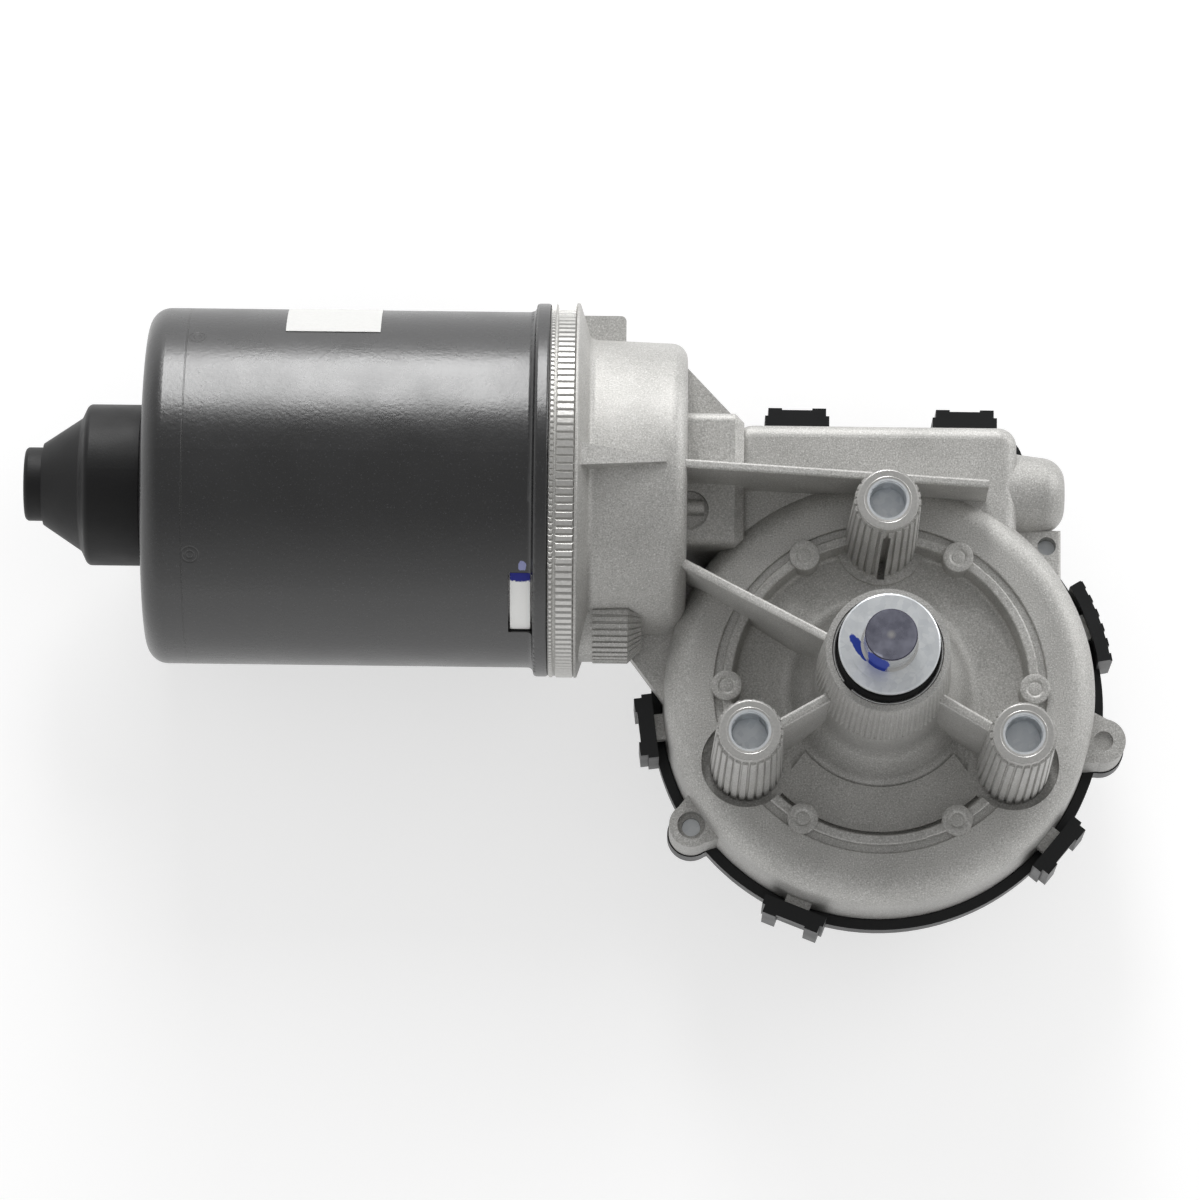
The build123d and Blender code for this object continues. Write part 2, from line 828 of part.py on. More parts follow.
# Small cast block on the neck's top, and the wire duct at its foot
top_block_rise = 4.8
top_block_width = 12.0
top_block_length = 10.0
with BuildPart() as neck_blocks:
    with BuildSketch(across_motor(flange_end)):
        with Locations((neck_r, 0)):
            Rectangle(2 * top_block_rise, top_block_width)
    extrude(amount=top_block_length)
    fillet(edges().filter_by(Axis.Z).group_by(Axis.X)[-1], 1.2)
duct_y = 22.0
duct_width = 9.0
duct_top_z = -55.5
duct_length = 6.0
with BuildPart() as duct:
    with Locations((neck_end + 1, duct_y, duct_top_z)):
        Box(duct_length, duct_width, duct_top_z - ear_back_z, align=(Align.CENTER, Align.CENTER, Align.MAX))


def ear_plan(r):
    """Plan of the screw ears: a square lug, and two round ones drawn in to the drum."""
    grow = r - ear_r
    with BuildSketch() as plan:
        with Locations((lug_right + grow, lug_top + grow)):
            Rectangle(lug_size + grow, lug_size + 2 * grow, align=(Align.MAX, Align.MAX))
        for angle in ear_angles[1:]:
            with Locations(Rotation(0, 0, angle)):
                with Locations((ear_circle, 0)):
                    Circle(r)
                root = (drum_r - 3, r + 1.6)
                Polygon((root[0], -root[1]), (ear_circle, -r), (ear_circle, r), root, align=None)
    return plan.sketch


ear_angles = (42.8, -10.7, 215.4)
lug_right = 39.2
lug_top = 37.0
lug_size = 14.0
ear_spots = [(ear_circle * cos(radians(a)), ear_circle * sin(radians(a))) for a in ear_angles]
with BuildPart() as ears:
    with BuildSketch(level(ear_back_z)):
        add(ear_plan(ear_r))
    extrude(amount=ear_front_z - ear_back_z)
    fillet(faces().sort_by(Axis.Z)[-1].edges(), 0.6)

# Catches on the outer wall for the cover's clips
clip_angles = (187.5, 249.0, 321.0)
clip_tops = (-18.0, 18.5)
wide_clip_angle = 20.6
catch_width = 5.6
catch_low_z = -58.6
catch_height = 2.8
catch_reach = 3.4


def wall_plane(angle, point):
    """Upright plane at a point of the outer wall, facing out at an angle. Its own y is +Z."""
    out = radians(angle)
    return Plane(origin=(*point, 0), x_dir=(-sin(out), cos(out), 0), z_dir=(cos(out), sin(out), 0))


clip_planes = [wall_plane(a, (drum_r * cos(radians(a)), drum_r * sin(radians(a)))) for a in clip_angles]
clip_planes += [wall_plane(90, (x, tunnel_top)) for x in clip_tops]
wide_out = radians(wide_clip_angle)
wide_plane = wall_plane(wide_clip_angle, (drum_r * cos(wide_out), drum_r * sin(wide_out)))
with BuildPart() as catches:
    for place in (*clip_planes, wide_plane):
        with BuildSketch(place.offset(-1)):
            with Locations((0, catch_low_z + catch_height / 2)):
                Rectangle(catch_width, catch_height)
        extrude(amount=catch_reach + 1)

# The housing: forms joined, then cavities, bores and screw holes cut
slot_top_z = -post_collar - 4.0
post_slot = (1.6, 4.0, post_height + slot_top_z + 1.4)
pilot_r = screw_r + 0.05
ear_mouths = ((pilot_r, 2.0), (2.1, 1.2), (3.0, 3.0))
retainer_pilot = 3.4
feed_y = (20.0, 22.0)
seal_bore_r = boss_tip_r - 1.4
seal_seat_z = -2.0
spigot_r = can_bore_r - slip
spigot_length = 13.0
with BuildPart() as gear_housing:
    add(drum.part)
    with BuildSketch(level(pad_z)):
        for spot in post_spots[1:]:
            with Locations(spot):
                Circle(pad_r)
    extrude(amount=ring_top_z - pad_z + 1, mode=Mode.SUBTRACT)
    with BuildSketch(level(floor_z - 0.5)):
        for spot in post_spots:
            with Locations(spot):
                Circle(pad_r)
    extrude(amount=pad_z - floor_z + 0.5)
    forms = (output_boss, posts, pips, sector_pad, tunnel, thrust_boss, bearing_block, neck)
    forms += (side_boss, webs, spike, neck_blocks, duct, ears, catches)
    add([form.part for form in forms] + ribs)
    with BuildSketch(across_motor(flange_face)):
        Circle(spigot_r)
    extrude(amount=-spigot_length)
    with BuildSketch(across_motor(window_start + window_gap)):
        add(window_sector(spigot_r - 1, window_boss_r, window_gap))
    extrude(amount=window_length - 2 * window_gap)
    with BuildSketch(along_motor):
        Polygon(
            (flange_face - spigot_length - 1, 0),
            (flange_face - spigot_length - 1, neck_bore_r),
            (card_x, neck_bore_r),
            (card_x, neck_bore_r - 2),
            (bearing_start, neck_bore_r - 2),
            (bearing_start, bearing_r),
            (bearing_end, bearing_r),
            (bearing_end, worm_bore_r),
            (front_bush_start, worm_bore_r),
            (front_bush_start, front_bush_r),
            (shaft_finish + 1.7, front_bush_r),
            (shaft_finish + 1.7, 0),
            align=None,
        )
        seal_x = flange_face - spigot_length + 2.0
        with Locations((seal_x, spigot_r)):
            Rectangle(1.7, 2.4)
    revolve(axis=motor_axis, mode=Mode.SUBTRACT)
    with BuildSketch(level(drum_back_z)):
        Circle(cavity_r)
    extrude(amount=cavity_top_z - drum_back_z, mode=Mode.SUBTRACT)
    with BuildSketch(level(drum_back_z)):
        with Locations((0, worm_y)):
            Rectangle(2 * (front_bush_start - 1.5), 2 * worm_bore_r)
    extrude(amount=worm_z - drum_back_z, mode=Mode.SUBTRACT)
    with BuildSketch(Plane.XZ):
        Polygon(
            (0, cavity_top_z - 1),
            (boss_bush_r, cavity_top_z - 1),
            (boss_bush_r, seal_seat_z),
            (seal_bore_r, seal_seat_z),
            (seal_bore_r, boss_rim_z + 1),
            (0, boss_rim_z + 1),
            align=None,
        )
    revolve(axis=Axis.Z, mode=Mode.SUBTRACT)
    with BuildSketch(level(0)):
        with Locations(*post_spots):
            Circle(insert_neck_r)
    extrude(amount=-insert_neck, mode=Mode.SUBTRACT)
    with BuildSketch(level(-insert_neck)):
        with Locations(*post_spots):
            Circle(insert_body_r)
    extrude(amount=insert_neck - insert_length, mode=Mode.SUBTRACT)
    for spot in post_spots:
        with Locations((spot[0], spot[1], 0)):
            Cone(
                insert_neck_r,
                insert_neck_r + mouth_chamfer,
                mouth_chamfer,
                align=(Align.CENTER, Align.CENTER, Align.MAX),
                mode=Mode.SUBTRACT,
            )
    with Locations((neck_end, duct_y - 1, drum_back_z + 5)):
        Box(11, 4.4, 3, mode=Mode.SUBTRACT)
    # Narrow slot in the face of the upper post, and the screw pilots in the ears
    with Locations((0, post_circle / 2 - post_tip_r, slot_top_z)):
        Box(*post_slot, align=(Align.CENTER, Align.CENTER, Align.MAX), mode=Mode.SUBTRACT)
    with BuildSketch(level(ear_back_z)):
        for spot in ear_spots:
            with Locations(spot):
                Circle(pilot_r)
    extrude(amount=ear_front_z - ear_back_z - 1.5, mode=Mode.SUBTRACT)
    for spot, (r, depth) in zip(ear_spots, ear_mouths):
        with BuildSketch(level(ear_front_z)):
            with Locations(spot):
                Circle(r)
        extrude(amount=-depth, mode=Mode.SUBTRACT)
    with BuildSketch(across_motor(bearing_start)):
        with PolarLocations(retainer_circle, 3):
            Circle(retainer_screw_r + 0.05)
    extrude(amount=retainer_pilot, mode=Mode.SUBTRACT)
nodes["gear_housing"] = gear_housing

# Threaded inserts cast into the posts, each closed at its foot
with BuildPart() as post_inserts:
    with BuildSketch(level(0)):
        with Locations(*post_spots):
            Circle(insert_neck_r)
    extrude(amount=-insert_neck)
    with BuildSketch(level(-insert_neck)):
        with Locations(*post_spots):
            Circle(insert_body_r)
    extrude(amount=insert_neck - insert_length)
    with BuildSketch(level(0)):
        with Locations(*post_spots):
            Circle(thread_r)
    extrude(amount=-thread_depth, mode=Mode.SUBTRACT)
nodes["post_inserts"] = post_inserts

# Bearing retainer ring and its screws
with BuildPart() as bearing_retainer:
    with BuildSketch(across_motor(bearing_start - 1.2)):
        Circle(retainer_circle + 2.4)
        Circle(race_outer_r + 0.4, mode=Mode.SUBTRACT)
        with PolarLocations(retainer_circle, 3):
            Circle(retainer_screw_r + slip, mode=Mode.SUBTRACT)
    extrude(amount=1.2)
nodes["bearing_retainer"] = bearing_retainer

with BuildPart() as retainer_screws:
    with BuildSketch(across_motor(bearing_start - 1.2)):
        with PolarLocations(retainer_circle, 3):
            Circle(retainer_screw_r * 1.7)
    extrude(amount=-1.6)
    with BuildSketch(across_motor(bearing_start - 1.2)):
        with PolarLocations(retainer_circle, 3):
            Circle(retainer_screw_r)
    extrude(amount=4.4)
nodes["retainer_screws"] = retainer_screws

# Brush card with its tubes, carbon brushes, springs and chokes
brush_inner_r = commutator_r + running
tube_wall = 0.7
tube_low_x = brush_x - brush_width / 2 - slip - tube_wall
with BuildPart() as brush_card:
    with BuildSketch(across_motor(card_x - card_thickness)):
        Circle(neck_bore_r - slip)
        Circle(card_hole_r, mode=Mode.SUBTRACT)
    extrude(amount=card_thickness)
nodes["brush_card"] = brush_card

with BuildPart() as brush_tubes:
    with BuildSketch(across_motor(tube_low_x)):
        for angle in brush_angles:
            with PolarLocations(commutator_r + 1.6, 1, start_angle=angle):
                tube_width = brush_thickness + 2 * (slip + tube_wall)
                Rectangle(brush_length + 1.2, tube_width, align=(Align.MIN, Align.CENTER))
    extrude(amount=card_x - card_thickness - tube_low_x)
    with BuildSketch(across_motor(tube_low_x + tube_wall)):
        for angle in brush_angles:
            with PolarLocations(commutator_r, 1, start_angle=angle):
                Rectangle(brush_length + 2.2, brush_thickness + 2 * slip, align=(Align.MIN, Align.CENTER))
    extrude(amount=brush_width + 2 * slip, mode=Mode.SUBTRACT)
nodes["brush_tubes"] = brush_tubes

with BuildPart() as brushes:
    with BuildSketch(across_motor(brush_x - brush_width / 2)):
        for angle in brush_angles:
            with PolarLocations(brush_inner_r - 0.3, 1, start_angle=angle):
                Rectangle(brush_length * 0.7, brush_thickness, align=(Align.MIN, Align.CENTER))
        Circle(brush_inner_r, mode=Mode.SUBTRACT)
    extrude(amount=brush_width)
nodes["brushes"] = brushes

spring_r = 1.9
spring_wire = 0.6
spring_length = commutator_r + brush_length + 1.5 - brush_inner_r - brush_length * 0.7
with BuildPart() as brush_springs:
    for angle in brush_angles:
        out = radians(angle)
        start_r = brush_inner_r + brush_length * 0.7
        base = Vector(brush_x, worm_y + start_r * cos(out), worm_z + start_r * sin(out))
        axis = Vector(0, cos(out), sin(out))
        with BuildSketch(Plane(origin=base, x_dir=(1, 0, 0), z_dir=axis)):
            Circle(spring_r)
            Circle(spring_r - spring_wire, mode=Mode.SUBTRACT)
        extrude(amount=spring_length)
nodes["brush_springs"] = brush_springs

choke_r = 2.5
choke_length = 18.0
coil_r = 3.6
coil_turns = 9
coil_pitch = 1.5
wire_width = 1.2
coil_length = coil_pitch * (coil_turns - 1) + wire_width
choke_x = card_x + coil_r
choke_offset = 16.0
with BuildPart() as choke_cores:
    for side in (-choke_offset, choke_offset):
        with BuildSketch(level(worm_z - choke_length / 2)):
            with Locations((choke_x, worm_y + side)):
                Circle(choke_r)
        extrude(amount=choke_length)
nodes["choke_cores"] = choke_cores

with BuildPart() as choke_coils:
    for side in (-choke_offset, choke_offset):
        for turn in range(coil_turns):
            with BuildSketch(level(worm_z - coil_length / 2 + coil_pitch * turn)):
                with Locations((choke_x, worm_y + side)):
                    Circle(coil_r)
                    Circle(choke_r, mode=Mode.SUBTRACT)
            extrude(amount=wire_width)
        with BuildSketch(level(worm_z - coil_length / 2)):
            with Locations((choke_x, worm_y + side)):
                Circle((choke_r + coil_r) / 2)
                Circle(choke_r, mode=Mode.SUBTRACT)
        extrude(amount=coil_length)
nodes["choke_coils"] = choke_coils

strip_end_x = -36.0
strip_run_z = drum_back_z + 5.0
spring_sheet = 0.5
with BuildPart() as feed_strips:
    for y in feed_y:
        with BuildSketch(Plane(origin=(0, y, 0), x_dir=(1, 0, 0), z_dir=(0, -1, 0))):
            with BuildLine():
                Polyline(
                    (card_x + 0.4, worm_z - 4),
                    (card_x + 0.4, strip_run_z),
                    (strip_end_x, strip_run_z),
                    (strip_end_x, cover_inner_z + 0.4),
                )
            trace(line_width=spring_sheet)
        extrude(amount=0.6, both=True)
nodes["feed_strips"] = feed_strips

# Front bush, and the thrust pieces at the shaft's two ends
with BuildPart() as front_bush:
    with BuildSketch(across_motor(front_bush_start)):
        Circle(front_bush_r - 0.01)
        Circle(front_journal_r + running, mode=Mode.SUBTRACT)
    extrude(amount=front_bush_length)
nodes["front_bush"] = front_bush

with BuildPart() as thrust_pad:
    with BuildSketch(across_motor(shaft_finish + 0.05)):
        Circle(front_bush_r - 0.01)
    extrude(amount=1.6)
nodes["thrust_pad"] = thrust_pad

with BuildPart() as rear_thrust_disc:
    with BuildSketch(across_motor(pocket_end + pocket_wall)):
        Circle(motor_shaft_r - 0.4)
    extrude(amount=0.55)
nodes["rear_thrust_disc"] = rear_thrust_disc

# Rubber ring between the housing's spigot and the can
with BuildPart() as can_seal:
    with BuildSketch(along_motor):
        with Locations((seal_x, spigot_r - 0.52)):
            Circle(0.65)
    revolve(axis=motor_axis)
nodes["can_seal"] = can_seal

# Two sintered bushes in the output boss
with BuildPart() as boss_bushes:
    for top_z in (seal_seat_z - 1.0, cavity_top_z + boss_bush_length):
        with BuildSketch(level(top_z)):
            Circle(boss_bush_r - 0.01)
            Circle(shaft_r + running, mode=Mode.SUBTRACT)
        extrude(amount=-boss_bush_length)
nodes["boss_bushes"] = boss_bushes

# Lip seal under the end washer, and the wire ring that holds it
with BuildPart() as shaft_seal:
    with BuildSketch(Plane.XZ):
        Polygon(
            (shaft_r + running, seal_seat_z),
            (seal_bore_r - 0.01, seal_seat_z),
            (seal_bore_r - 0.01, 3.2),
            (9.8, 3.6),
            (9.3, 9.6),
            (8.6, 9.6),
            (8.2, 5.0),
            (shaft_r + running, 4.0),
            align=None,
        )
    revolve(axis=Axis.Z)
nodes["shaft_seal"] = shaft_seal

wire_r = 0.4
wire_gap = 228.0
with BuildPart() as seal_ring:
    with BuildSketch(Plane.XZ.rotated((0, 0, wire_gap))):
        with Locations((seal_bore_r - wire_r - 0.02, 3.78)):
            Circle(wire_r)
    revolve(axis=Axis.Z, revolution_arc=348)
nodes["seal_ring"] = seal_ring

# Output shaft with its wheel, hub, washers and snap ring
hub_bottom_z = wheel_back_z - 1.0
hub_top_z = wheel_top_z - 0.8
shoulder_top_z = shaft_end_z - shaft_end_length
snap_z = (seal_seat_z - 0.95, seal_seat_z - 0.1)
with BuildPart() as output_shaft:
    with BuildSketch(Plane.XZ):
        Polygon(
            (0, hub_bottom_z - 2),
            (shaft_r - 0.8, hub_bottom_z - 2),
            (shaft_r, hub_bottom_z - 1.2),
            (shaft_r, hub_bottom_z),
            (hub_seat_r, hub_bottom_z),
            (hub_seat_r, hub_top_z),
            (shaft_r, hub_top_z),
            (shaft_r, snap_z[0]),
            (shaft_r - 0.4, snap_z[0]),
            (shaft_r - 0.4, snap_z[1]),
            (shaft_r, snap_z[1]),
            (shaft_r, shoulder_top_z),
            (shaft_end_r, shoulder_top_z),
            (shaft_end_r, shaft_end_z - shaft_chamfer),
            (shaft_end_r - shaft_chamfer, shaft_end_z),
            (0, shaft_end_z),
            align=None,
        )
    revolve(axis=Axis.Z)
nodes["output_shaft"] = output_shaft

with BuildPart() as shaft_circlip:
    with BuildSketch(level(snap_z[0])):
        Circle(boss_bush_r - 0.7)
        Circle(shaft_r - 0.4, mode=Mode.SUBTRACT)
        Rectangle(boss_bush_r, 4.0, align=(Align.MIN, Align.CENTER), mode=Mode.SUBTRACT)
    extrude(amount=snap_z[1] - snap_z[0])
nodes["shaft_circlip"] = shaft_circlip

with BuildPart() as thrust_washer:
    with BuildSketch(level(hub_top_z)):
        Circle(hub_hex_r * 0.84)
        Circle(shaft_r + running, mode=Mode.SUBTRACT)
    extrude(amount=cavity_top_z - hub_top_z - 0.05)
nodes["thrust_washer"] = thrust_washer

with BuildPart() as dust_washer:
    with BuildSketch(Plane.XZ):
        with BuildLine():
            Polyline(
                (shaft_r, shoulder_top_z - washer_thickness),
                (washer_r, shoulder_top_z - washer_thickness),
                (washer_r, shoulder_top_z - 0.3),
                (washer_r - 0.3, shoulder_top_z - 0.15),
                (washer_step_r, shoulder_top_z - 0.15),
                (washer_step_r, shoulder_top_z),
                (shaft_r, shoulder_top_z),
                close=True,
            )
        make_face()
    revolve(axis=Axis.Z)
nodes["dust_washer"] = dust_washer

with BuildPart() as wheel_hub:
    with BuildSketch(level(hub_bottom_z)):
        RegularPolygon(hub_hex_r, 6)
        Circle(hub_seat_r, mode=Mode.SUBTRACT)
    extrude(amount=hub_top_z - hub_bottom_z)
nodes["wheel_hub"] = wheel_hub


def wheel_outline(z):
    """Corner points of the toothed rim at height z. The teeth turn to suit the worm's lead."""
    step = 2 * pi / wheel_teeth
    middle = pi / 2 + step / 2 + (z - worm_z) * lead_slope / wheel_pitch_r
    tip_angle = (wheel_tooth / 2 - addendum * flank) / wheel_tip_r
    root_angle = (wheel_tooth / 2 + dedendum * flank) / wheel_root_r
    root, tip = (wheel_root_r, root_angle), (wheel_tip_r, tip_angle)
    corners = ((root[0], -root[1]), (tip[0], -tip[1]), tip, root)
    points = []
    for i in range(wheel_teeth):
        for r, angle in corners:
            turn = middle + i * step + angle
            points.append((r * cos(turn), r * sin(turn)))
    return points


wheel_tooth = (1 - tooth_share) * axial_pitch - 2 * play
rim_inner_r = wheel_root_r - 3.5
with BuildPart() as worm_wheel:
    for z in (wheel_back_z, wheel_top_z):
        with BuildSketch(level(z)):
            Polygon(*wheel_outline(z), align=None)
    loft(ruled=True)
    with BuildSketch(level(wheel_top_z)):
        Circle(rim_inner_r)
        Circle(wheel_pad_r, mode=Mode.SUBTRACT)
        with PolarLocations(wheel_pad_r - 1, 10):
            Rectangle(rim_inner_r - wheel_pad_r + 2, 2.0, align=(Align.MIN, Align.CENTER), mode=Mode.SUBTRACT)
    extrude(amount=wheel_web - wheel_face, mode=Mode.SUBTRACT)
    with BuildSketch(level(wheel_back_z)):
        RegularPolygon(hub_hex_r + 0.01, 6)
    extrude(amount=wheel_face, mode=Mode.SUBTRACT)
nodes["worm_wheel"] = worm_wheel

# Park contact disc on the wheel's back, and the spring fingers that rub on it
disc_inner_r = 15.0
disc_outer_r = 28.0
disc_thickness = 0.6
with BuildPart() as contact_disc:
    with BuildSketch(level(wheel_back_z)):
        Circle(disc_outer_r)
        Circle(disc_inner_r, mode=Mode.SUBTRACT)
        with BuildSketch(mode=Mode.SUBTRACT):
            Circle(disc_outer_r + 1)
            Circle((disc_inner_r + disc_outer_r) / 2, mode=Mode.SUBTRACT)
            Polygon((0, 0), (-60, -26), (-60, 26), align=None, mode=Mode.INTERSECT)
    extrude(amount=-disc_thickness)
nodes["contact_disc"] = contact_disc

finger_tip_z = wheel_back_z - disc_thickness - play - spring_sheet / 2
finger_tracks = ((-5.0, 17.5), (0.0, 21.5), (5.0, 25.5))
finger_width = 2.2
finger_root = (31.0, 35.0)
with BuildPart() as contact_fingers:
    for y, r in finger_tracks:
        tip_x = sqrt(r * r - y * y)
        with BuildSketch(Plane(origin=(0, y, 0), x_dir=(1, 0, 0), z_dir=(0, -1, 0))):
            with BuildLine():
                Polyline(
                    (tip_x - 1.5, finger_tip_z - 0.7),
                    (tip_x, finger_tip_z),
                    (tip_x + 1.5, finger_tip_z - 0.7),
                    (finger_root[0], cover_inner_z + 0.26),
                    (finger_root[1], cover_inner_z + 0.26),
                )
            trace(line_width=spring_sheet)
        extrude(amount=finger_width / 2, both=True)
nodes["contact_fingers"] = contact_fingers


def cover_plan(grow):
    """Plan of the drum and the tunnel, drawn out from their walls by grow."""
    with BuildSketch() as plan:
        Circle(drum_r + grow)
        with Locations((tunnel_middle, tunnel_top + grow)):
            Rectangle(tunnel_right - tunnel_left + 2 * grow, tunnel_top, align=(Align.CENTER, Align.MAX))
        fillet(plan.vertices().group_by(Axis.Y)[-1], tunnel_corner + 1 + grow)
    return plan.sketch


# Room that the cover and its gasket leave for the neck, the wire duct and the bearing block
with BuildPart() as neck_clearance:
    with BuildSketch(across_motor(neck_end + slip)):
        Circle(neck_r + slip)
    extrude(amount=-20)
with BuildPart() as skirt_clearance:
    add(neck_clearance.part)
    with BuildSketch(level(cover_inner_z)):
        with Locations((neck_end + 3, duct_y - 13)):
            Rectangle(20, 53, align=(Align.MAX, Align.MIN))
        with Locations((tunnel_left + 2.2, worm_y)):
            Rectangle(12, 30, align=(Align.MAX, Align.CENTER))
    extrude(amount=6)

cover_edge_z = drum_back_z + cover_lap
with BuildPart() as cover_gasket:
    with BuildSketch(level(cover_inner_z)):
        add(cover_plan(-0.4))
        add(cover_plan(-2.8), mode=Mode.SUBTRACT)
    extrude(amount=gasket_thickness)
    add(neck_clearance.part, mode=Mode.SUBTRACT)
nodes["cover_gasket"] = cover_gasket

# Back cover: plate, skirt round the housing, screw ears, snap clips, ribs and connector shroud
cover_ribs_x = (-20.0, 0.0, 20.0)
cover_ribs_y = (8.0, 22.0, 36.0)
cover_rib = 1.6
cover_rib_length = 54.0
cover_rib_height = 40.0
clip_window = (catch_width + 1.4, catch_height + 2.2)
wide_clip_first = wide_clip_angle - 9.5
strap_outer_r = drum_r + strap_gap + strap_thickness
pin_spots = [(shroud_x + pin_pitch * (i - (pin_count - 1) / 2), shroud_y) for i in range(pin_count)]
with BuildPart() as back_cover:
    with BuildSketch(level(cover_back_z)):
        add(cover_plan(slip + cover_skirt))
    extrude(amount=cover_edge_z - cover_back_z)
    fillet(faces().sort_by(Axis.Z)[0].edges(), 1.2)
    with BuildSketch(level(cover_inner_z)):
        add(cover_plan(slip))
    extrude(amount=cover_edge_z - cover_inner_z, mode=Mode.SUBTRACT)
    with BuildSketch(level(cover_back_z)):
        add(ear_plan(ear_r + 0.3))
        add(cover_plan(slip), mode=Mode.SUBTRACT)
    extrude(amount=cover_edge_z - cover_back_z)
    for place in clip_planes:
        with BuildSketch(place.offset(clip_gap)):
            with Locations((0, cover_back_z)):
                Rectangle(clip_width, clip_front_z - cover_back_z, align=(Align.CENTER, Align.MIN))
            with Locations((0, catch_low_z - slip)):
                Rectangle(*clip_window, align=(Align.CENTER, Align.MIN), mode=Mode.SUBTRACT)
        extrude(amount=clip_thickness + 0.3)
        with BuildSketch(place.offset(clip_gap + clip_thickness)):
            for side in (-1, 1):
                with Locations((side * clip_rib_place, cover_back_z)):
                    Rectangle(clip_rib_width, clip_front_z - cover_back_z, align=(Align.CENTER, Align.MIN))
        extrude(amount=clip_rib + 0.3)
        with BuildSketch(place.offset(clip_gap + clip_thickness)):
            with Locations((0, clip_front_z)):
                Rectangle(2 * clip_rib_place, clip_lip, align=(Align.CENTER, Align.MAX))
        extrude(amount=clip_rib - 0.1)
    with BuildSketch(level(cover_back_z)):
        with BuildLine():
            CenterArc((0, 0), drum_r + strap_gap + strap_thickness / 2, wide_clip_angle - 10.5, 21)
        trace(line_width=strap_thickness)
    extrude(amount=clip_front_z + 1.5 - cover_back_z)
    with BuildSketch(level(cover_back_z)):
        for i in range(6):
            with PolarLocations(strap_outer_r - strap_tooth, 1, start_angle=wide_clip_first + 3.8 * i):
                Rectangle(2 * strap_tooth, clip_rib, align=(Align.MIN, Align.CENTER))
    extrude(amount=clip_front_z - cover_back_z)
    with BuildSketch(wide_plane.offset(clip_gap - 0.6)):
        with Locations((0, catch_low_z - slip)):
            Rectangle(catch_width + 1.4, catch_height + 1.6, align=(Align.CENTER, Align.MIN))
    extrude(amount=clip_thickness + 1.4, mode=Mode.SUBTRACT)
    add(skirt_clearance.part, mode=Mode.SUBTRACT)
    with BuildSketch(level(cover_back_z)):
        for spot in ear_spots:
            with Locations(spot):
                Circle(screw_r + play)
    extrude(amount=cover_edge_z - cover_back_z, mode=Mode.SUBTRACT)
    with BuildSketch(level(cover_back_z)):
        with Locations((shroud_x, shroud_y)):
            RectangleRounded(shroud_length + 2 * shroud_wall, shroud_width + 2 * shroud_wall, 3.0)
            RectangleRounded(shroud_length, shroud_width, 1.5, mode=Mode.SUBTRACT)
    extrude(amount=-shroud_depth)
    with BuildSketch(level(cover_back_z + 0.4)):
        for y in cover_ribs_y:
            with Locations((-2, y)):
                Rectangle(cover_rib_length, cover_rib)
        for x in cover_ribs_x:
            with Locations((x, cover_ribs_y[1])):
                Rectangle(cover_rib, cover_rib_height)
    extrude(amount=-cover_rib - 0.3)
    with BuildSketch(level(cover_back_z)):
        with Locations(*pin_spots):
            Rectangle(pin_width, pin_thickness)
    extrude(amount=1.2, mode=Mode.SUBTRACT)
nodes["back_cover"] = back_cover

with BuildPart() as connector_pins:
    with BuildSketch(level(cover_back_z + 1.2)):
        with Locations(*pin_spots):
            Rectangle(pin_width, pin_thickness)
    extrude(amount=-shroud_depth + 2)
nodes["connector_pins"] = connector_pins

# Cover screws: pan heads under the cover, shanks in the ears
with BuildPart() as cover_screws:
    with BuildSketch(level(cover_back_z)):
        with Locations(*ear_spots):
            Circle(screw_head_r)
    extrude(amount=-screw_head)
    fillet(faces().group_by(Axis.Z)[0].edges(), 0.9)
    with BuildSketch(level(cover_back_z - screw_head)):
        with Locations(*ear_spots):
            Rectangle(3.4, 0.8)
            Rectangle(0.8, 3.4)
    extrude(amount=1.3, mode=Mode.SUBTRACT)
    with BuildSketch(level(cover_back_z)):
        with Locations(*ear_spots):
            Circle(screw_r)
    extrude(amount=ear_front_z - 4 - cover_back_z)
nodes["cover_screws"] = cover_screws

for name, piece in nodes.items():
    piece.part.label = name
    export_step(piece.part, f"parts/{name}.step")
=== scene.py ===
# %% [markdown]
# # Wiper motor
# A geared motor that lies on its back cover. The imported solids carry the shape. This script gives each
# of them its surface, adds the fine pieces that are too small for the solids, and sets up the studio.
# The part's sizes and places are written in millimetres, and become metres where Blender gets them. The
# studio's are in metres.

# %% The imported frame
import json
import math
import bpy
from mathutils import Matrix, Vector


